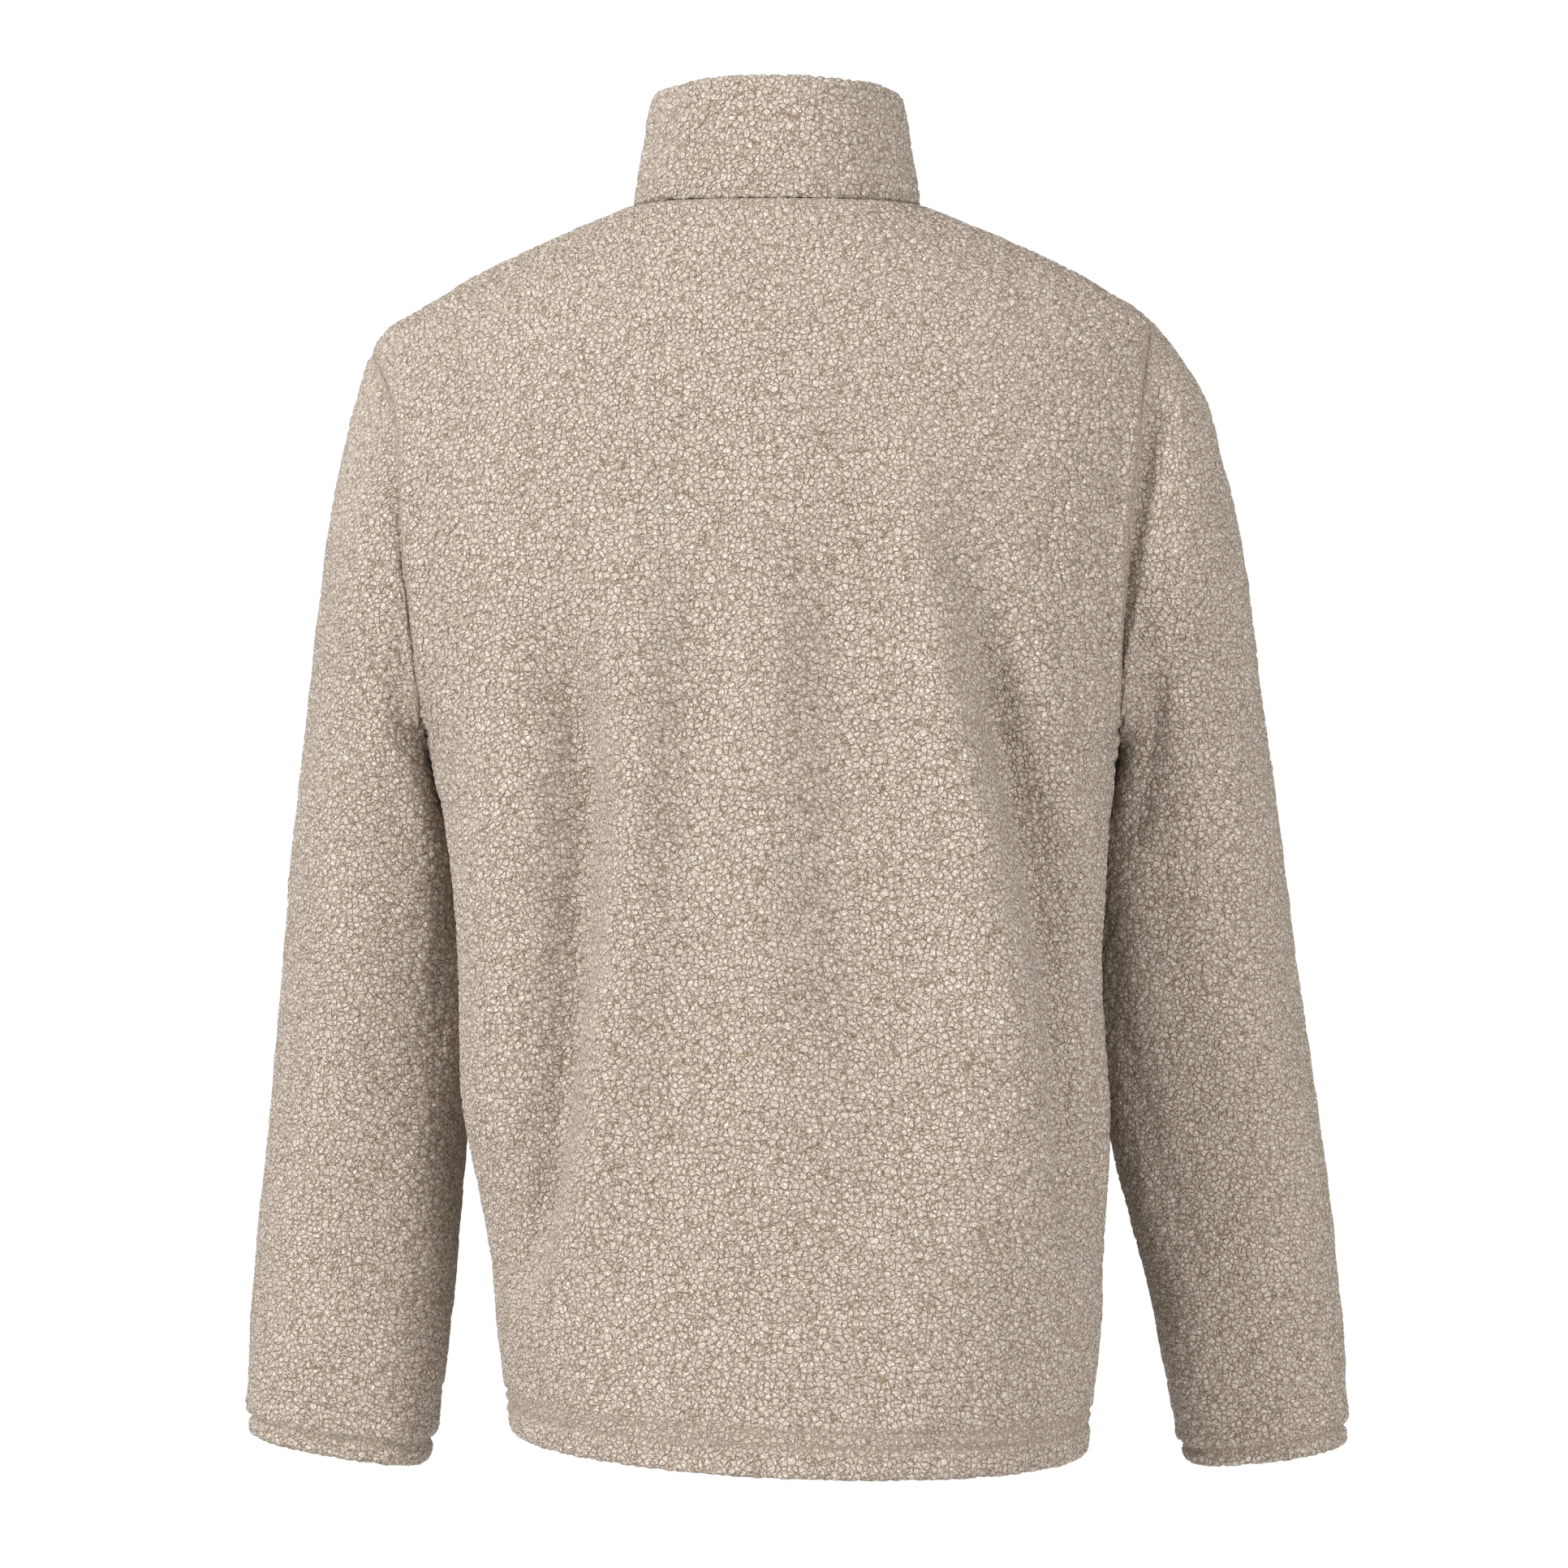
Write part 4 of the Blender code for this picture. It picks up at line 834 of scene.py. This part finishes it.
# Stand collar
# A strip of the same fleece folded along its top edge, so that both faces show pile. It is sewn round the
# neckline and ends at the zip.
COLLAR = table(RING_COLUMNS, (
    (0.000, 0.004, 0.0000, -0.062, 0.0800, 0.0800, 0.0680, -0.004, -0.0800, 0.00, 0.00, 0.000, 0.000),
    (0.020, 0.023, 0.0200, -0.041, 0.0770, 0.0770, 0.0668, -0.004, -0.0795, 0.00, 0.00, 0.000, 0.000),
    (0.040, 0.042, 0.0410, -0.020, 0.0735, 0.0735, 0.0652, -0.004, -0.0780, 0.00, 0.00, 0.000, 0.000),
    (0.060, 0.060, 0.0610, 0.002, 0.0700, 0.0700, 0.0632, -0.004, -0.0758, 0.00, 0.00, 0.000, 0.000),
    (0.065, 0.065, 0.0660, 0.008, 0.0680, 0.0680, 0.0615, -0.004, -0.0742, 0.00, 0.00, 0.000, 0.000),
    (0.067, 0.067, 0.0685, 0.010, 0.0650, 0.0650, 0.0588, -0.004, -0.0716, 0.00, 0.00, 0.000, 0.000),
))
COLLAR_UP = 0.067
COLLAR_DEPTH = 0.0070
COLLAR_COLUMNS = 216
# The round turn of its top, with its rows, and how much thinner the collar gets towards it, from this height
COLLAR_TOP_RADIUS = 0.0016
COLLAR_TOP_STEPS = 5
COLLAR_TOP_ROWS = 3
COLLAR_TOP_THIN = 0.55
COLLAR_TOP_START = 0.061
# How far round from the zip, in turns, it eases from a single layer to its full depth
COLLAR_END_REACH = 0.25


def collar_piece():
    """The collar from the neckline up its outer face, over its fold and down its inner face."""
    face_count = int(COLLAR_UP / PILE_GRID)
    face_rows = np.linspace(0, COLLAR_UP - COLLAR_TOP_RADIUS, face_count)
    fold = edge_rows(COLLAR_UP, COLLAR_TOP_RADIUS, COLLAR_TOP_STEPS)
    up_rows = rows_to_edge(face_rows, COLLAR_UP, COLLAR_TOP_ROWS)
    share = np.linspace(-1, 1, COLLAR_COLUMNS)[None, :]
    turn = share * centre_turn(ZIP_OPENING / 2, up_rows, COLLAR)[:, None]
    up = np.broadcast_to(up_rows[:, None], turn.shape)
    plain = ring_form(COLLAR, turn, up)
    out = grid_out(plain, -1)
    shares = [np.ones(len(up_rows))] * 2 + [np.full(turn.shape[1], NECK_SHARE)]
    sunk, _ = sewn(plain, [plain[:, 0], plain[:, -1], plain[0]], shares)
    face = plain - out * sunk[..., None]
    beside_zip = step(turn[:, -1:] - np.abs(turn), 0, COLLAR_END_REACH)
    fold_over = 1 - COLLAR_TOP_THIN * step(up, COLLAR_TOP_START, COLLAR_UP)
    depth = CLOTH_DEPTH + (COLLAR_DEPTH * fold_over - CLOTH_DEPTH) * beside_zip
    inside = np.arange(face_count - 2, -1, -1)
    points = folded_wall(face, plain, out, depth, up_rows, fold, inside, face_count)
    outer_rows = face_count + len(fold[0]) - 1
    return shell("collar_cloth", points, np.ones(points.shape[:2]), outer_rows, tube=False, flip=True)


collar = dress(collar_piece(), "stand_collar")

# Zip
# A closed moulded zip up the centre front, from just above the hem to the collar's top. Its woven tapes are
# sewn behind the fronts, and its teeth are plastic, each clamped over its tape's corded edge.
TAPE_WIDTH = 0.0150
TAPE_SPLIT = 0.0004
TAPE_THICK = 0.0010
TAPE_BEHIND = 0.0006
TAPE_LOW_END = 0.006
TAPE_LINES = 9
TAPE_SPACING = 0.004
# Its ribs are drawn 0.9 mm apart and its warp 1.4 mm, coarser than the real 0.4 mm, so that they show
TAPE_RIB = 0.0009
TAPE_WARP = 0.0014
CHAIN_LOW_END = 0.018
CHAIN_TOP = 0.058
CHAIN_THICK = 0.0030
CHAIN_OFF_TAPE = 0.0003
# Distance between one tape's teeth, and the outline of a tooth: places across the zip's middle and the half
# width there
TOOTH_PITCH = 0.0026
TOOTH_OUTLINE = (
    (-0.0028, 0.00070), (-0.0016, 0.00070), (-0.0011, 0.00044), (-0.0005, 0.00040), (-0.0002, 0.00058),
    (0.0003, 0.00058), (0.0006, 0.00034),
)
TOOTH_BEVEL = 0.00022
# Points of the zip's line on the fronts and on the collar, its straight step to each side of the neck seam, and
# how often it is smoothed
FRONT_POINTS = 200
COLLAR_POINTS = 24
NECK_STEP = 0.004
LINE_SMOOTHING = 6


def collar_form(turn, up):
    return ring_form(COLLAR, turn, up)


def zip_line(distance, low_end, spacing):
    """Points up the faces of the fronts and the collar, this far from the middle, with the ways out of
    them."""
    down = np.linspace(HEM_DOWN - low_end, NECK_STEP, FRONT_POINTS)
    up = np.linspace(NECK_STEP, CHAIN_TOP, COLLAR_POINTS)
    side = -1 if distance < 0 else 1
    on_body = side * centre_turn(abs(distance), down)
    on_collar = side * centre_turn(abs(distance), up, COLLAR)
    points = np.concatenate([body(on_body, down), collar_form(on_collar, up)])
    out = np.concatenate([outward(body, on_body, down), outward(collar_form, on_collar, up, -1)])
    way = np.concatenate([[0], np.cumsum(np.linalg.norm(np.diff(points, axis=0), axis=1))])
    at = np.linspace(0, way[-1], int(way[-1] / spacing) + 1)
    even = np.stack([np.interp(at, way, points[:, i]) for i in range(3)], axis=-1)
    out = np.stack([np.interp(at, way, out[:, i]) for i in range(3)], axis=-1)
    for _ in range(LINE_SMOOTHING):
        out[1:-1] = (out[:-2] + 2 * out[1:-1] + out[2:]) / 4
    return even, unit(out)


def tape(name, side):
    """A tape: its face, round its edge next the zip's middle, and its back."""
    front = CLOTH_DEPTH + TAPE_BEHIND
    across = np.linspace(TAPE_WIDTH, TAPE_SPLIT, TAPE_LINES)
    lines = [zip_line(side * distance, TAPE_LOW_END, TAPE_SPACING) for distance in across]
    shortest = min(len(points) for points, _ in lines)
    points = np.stack([points[:shortest] for points, _ in lines])
    out = np.stack([out[:shortest] for _, out in lines])
    face = points - out * front
    points = np.concatenate([face, (points - out * (front + TAPE_THICK))[::-1]])
    return shell(name, points, np.zeros(points.shape[:2]), len(face), tube=False, flip=side > 0)


def woven_tape():
    """Woven polyester tape: a fine ribbed weave, dull, a little darker than the fleece."""
    material, tree, shader = new_material("woven_zip_tape")
    place = add(tree, "ShaderNodeTexCoord").outputs["Object"]
    rib, warp = (
        add(tree, "ShaderNodeTexWave", {"Vector": place, "Scale": 1 / size / np.pi, "Distortion": bent},
            bands_direction=way).outputs["Fac"]
        for size, bent, way in ((TAPE_RIB, 0.6, "Z"), (TAPE_WARP, 0.4, "X"))
    )
    both = add(tree, "ShaderNodeMath", {0: rib, 1: warp}, operation="MULTIPLY")
    colour = mixed(tree, both.outputs[0], linear("#8d7862"), linear("#b5a28d"))
    bump = add(tree, "ShaderNodeBump", {"Height": both.outputs[0], "Strength": 0.6, "Distance": 0.0003})
    tree.links.new(colour, shader.inputs["Base Color"])
    tree.links.new(bump.outputs[0], shader.inputs["Normal"])
    shader.inputs["Roughness"].default_value = 0.8
    return material


WOVEN = woven_tape()
for name, side in (("left", 1), ("right", -1)):
    made = tape(f"zip_tape_{name}_cloth", side)
    made.data.materials.append(WOVEN)
    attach(made, "jacket")
    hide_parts(f"zip_tape_{name}")


def uneven_finish(name, size, detail, colours, gloss, metallic):
    """A hard finish whose colour and gloss vary together, in patches of this size."""
    material, tree, shader = new_material(name)
    place = add(tree, "ShaderNodeTexCoord").outputs["Object"]
    patches = noise(tree, place, size, Detail=detail)[0]
    colour = mixed(tree, patches, linear(colours[0]), linear(colours[1]))
    rough = ranged(tree, patches, 0, 1, *gloss)
    tree.links.new(colour, shader.inputs["Base Color"])
    tree.links.new(rough, shader.inputs["Roughness"])
    shader.inputs["Metallic"].default_value = metallic
    return material


# Moulded acetal, dyed to match: satin, with a slight unevenness of colour and of gloss along the chain
PLASTIC = uneven_finish("moulded_zip_plastic", 0.006, 4.0, ("#7f6a55", "#9c8871"), (0.34, 0.52), 0.0)


def tooth_rings():
    """The four rings of a tooth with bevelled edges, from its face to its back: across, along and out."""
    outline = np.array(TOOTH_OUTLINE + tuple((x, -y) for x, y in TOOTH_OUTLINE[::-1]))
    middle = np.array([outline[:, 0].mean(), 0])
    inset = outline - np.sign(outline - middle) * np.minimum(np.abs(outline - middle) * 0.5, TOOTH_BEVEL)
    half = CHAIN_THICK / 2
    layers = ((inset, half), (outline, half - TOOTH_BEVEL), (outline, TOOTH_BEVEL - half), (inset, -half))
    return np.stack([np.column_stack([shape, np.full(len(shape), out)]) for shape, out in layers])


def chain():
    """The zip's teeth, one after another from either side, as one mesh."""
    centre, out = zip_line(0.0, CHAIN_LOW_END, TOOTH_PITCH / 2)
    centre = centre - out * (CLOTH_DEPTH + TAPE_BEHIND - CHAIN_OFF_TAPE - CHAIN_THICK / 2)
    along = unit(np.gradient(centre, axis=0))
    rings = tooth_rings()
    layers, count = rings.shape[:2]
    near = np.arange(count)
    after = np.roll(near, -1)
    quads = [
        [layer * count + a, layer * count + b, (layer + 1) * count + b, (layer + 1) * count + a]
        for layer in range(layers - 1)
        for a, b in zip(near, after)
    ]
    shape_faces = quads + [near[::-1].tolist(), ((layers - 1) * count + near).tolist()]
    points = []
    faces = []
    for i, (place, up, way) in enumerate(zip(centre, along, out)):
        side = 1 if i % 2 else -1
        across = np.cross(up, way)
        across *= -side * np.sign(across[0])
        flat = rings.reshape(-1, 3)
        made = place + flat[:, :1] * across + flat[:, 1:2] * up + flat[:, 2:] * way
        start = len(points) * layers * count
        turned = np.dot(np.cross(across, up), way) < 0
        faces += [[start + int(v) for v in (face[::-1] if turned else face)] for face in shape_faces]
        points.append(made)
    mesh = bpy.data.meshes.new("zip_teeth")
    mesh.from_pydata(np.concatenate(points).tolist(), [], faces)
    mesh.update()
    return linked("zip_teeth", mesh)


teeth = chain()
teeth.data.materials.append(PLASTIC)
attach(teeth, "jacket")
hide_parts("zip_chain")


# Die-cast zinc with a thin dull lacquer: a soft metallic gloss, rubbed brighter in places
METAL = uneven_finish("lacquered_zinc", 0.004, 5.0, ("#8a7a68", "#b7a895"), (0.25, 0.45), 1.0)
# The solids of the slider, its pull tab and the box have their true shape, so they stay, with these finishes
for node, material in (("zip_slider", METAL), ("zip_pull", METAL), ("zip_box", PLASTIC)):
    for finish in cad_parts[node].material_slots:
        finish.material = material

# Floor, light and camera
# A white studio: the jacket at the height that it is worn over a pale floor, with a soft light on the
# wearer's left and a weaker one on the right.
FLOOR_Z = -1.50
FLOOR_REACH = 1.3
JACKET_MIDDLE = (0, 0, -0.3)


def studio_white():
    """Matt white card, evenly lit."""
    material, _, shader = new_material("studio_white")
    shader.inputs["Base Color"].default_value = linear("#f4f4f4")
    shader.inputs["Roughness"].default_value = 0.9
    return material


def studio_floor():
    """A flat square of the card."""
    mesh = bpy.data.meshes.new("floor")
    corners = [(x * FLOOR_REACH, y * FLOOR_REACH, FLOOR_Z) for x, y in ((-1, -1), (1, -1), (1, 1), (-1, 1))]
    mesh.from_pydata(corners, [], [(0, 1, 2, 3)])
    mesh.materials.append(studio_white())
    obj = linked("floor", mesh)


def soft_light(name, place, target, size, watts, colour):
    """A square soft light at a place, facing its target."""
    light = bpy.data.lights.new(name, "AREA")
    light.size = size
    light.energy = watts
    light.color = linear(colour)[:3]
    obj = linked(name, light)
    obj.location = place
    obj.rotation_mode = "QUATERNION"
    obj.rotation_quaternion = (Vector(target) - Vector(place)).to_track_quat("-Z", "Y")


studio_floor()
soft_light("key", (2.45, 2.0, 0.95), JACKET_MIDDLE, 0.9, 113, "#ffffff")
soft_light("fill", (-1.7, 2.9, 0.4), JACKET_MIDDLE, 2.2, 73, "#ffffff")

# The surroundings show white, and light the jacket less than they show
SKY_LIGHT = 0.60
world = bpy.data.worlds.new("studio")
world.use_nodes = True
bpy.context.scene.world = world
sky = world.node_tree
seen = add(sky, "ShaderNodeLightPath").outputs["Is Camera Ray"]
sky.links.new(ranged(sky, seen, 0, 1, SKY_LIGHT, 1), sky.nodes["Background"].inputs["Strength"])
sky.nodes["Background"].inputs["Color"].default_value = (1, 1, 1, 1)

# Camera level with the middle of the back, 2.35 m behind it
CAMERA_AWAY = 2.35
FRAME_WIDTH = 0.8694
SENSOR = 36
camera_data = bpy.data.cameras.new("camera")
camera_data.sensor_width = SENSOR
camera_data.lens = SENSOR * CAMERA_AWAY / FRAME_WIDTH
camera = linked("camera", camera_data)
camera.location = (-0.0038, CAMERA_AWAY, -0.316)
camera.rotation_mode = "QUATERNION"
camera.rotation_quaternion = Vector((0, -1, 0)).to_track_quat("-Z", "Y")
bpy.context.scene.camera = camera

bpy.context.scene.view_settings.view_transform = "Standard"
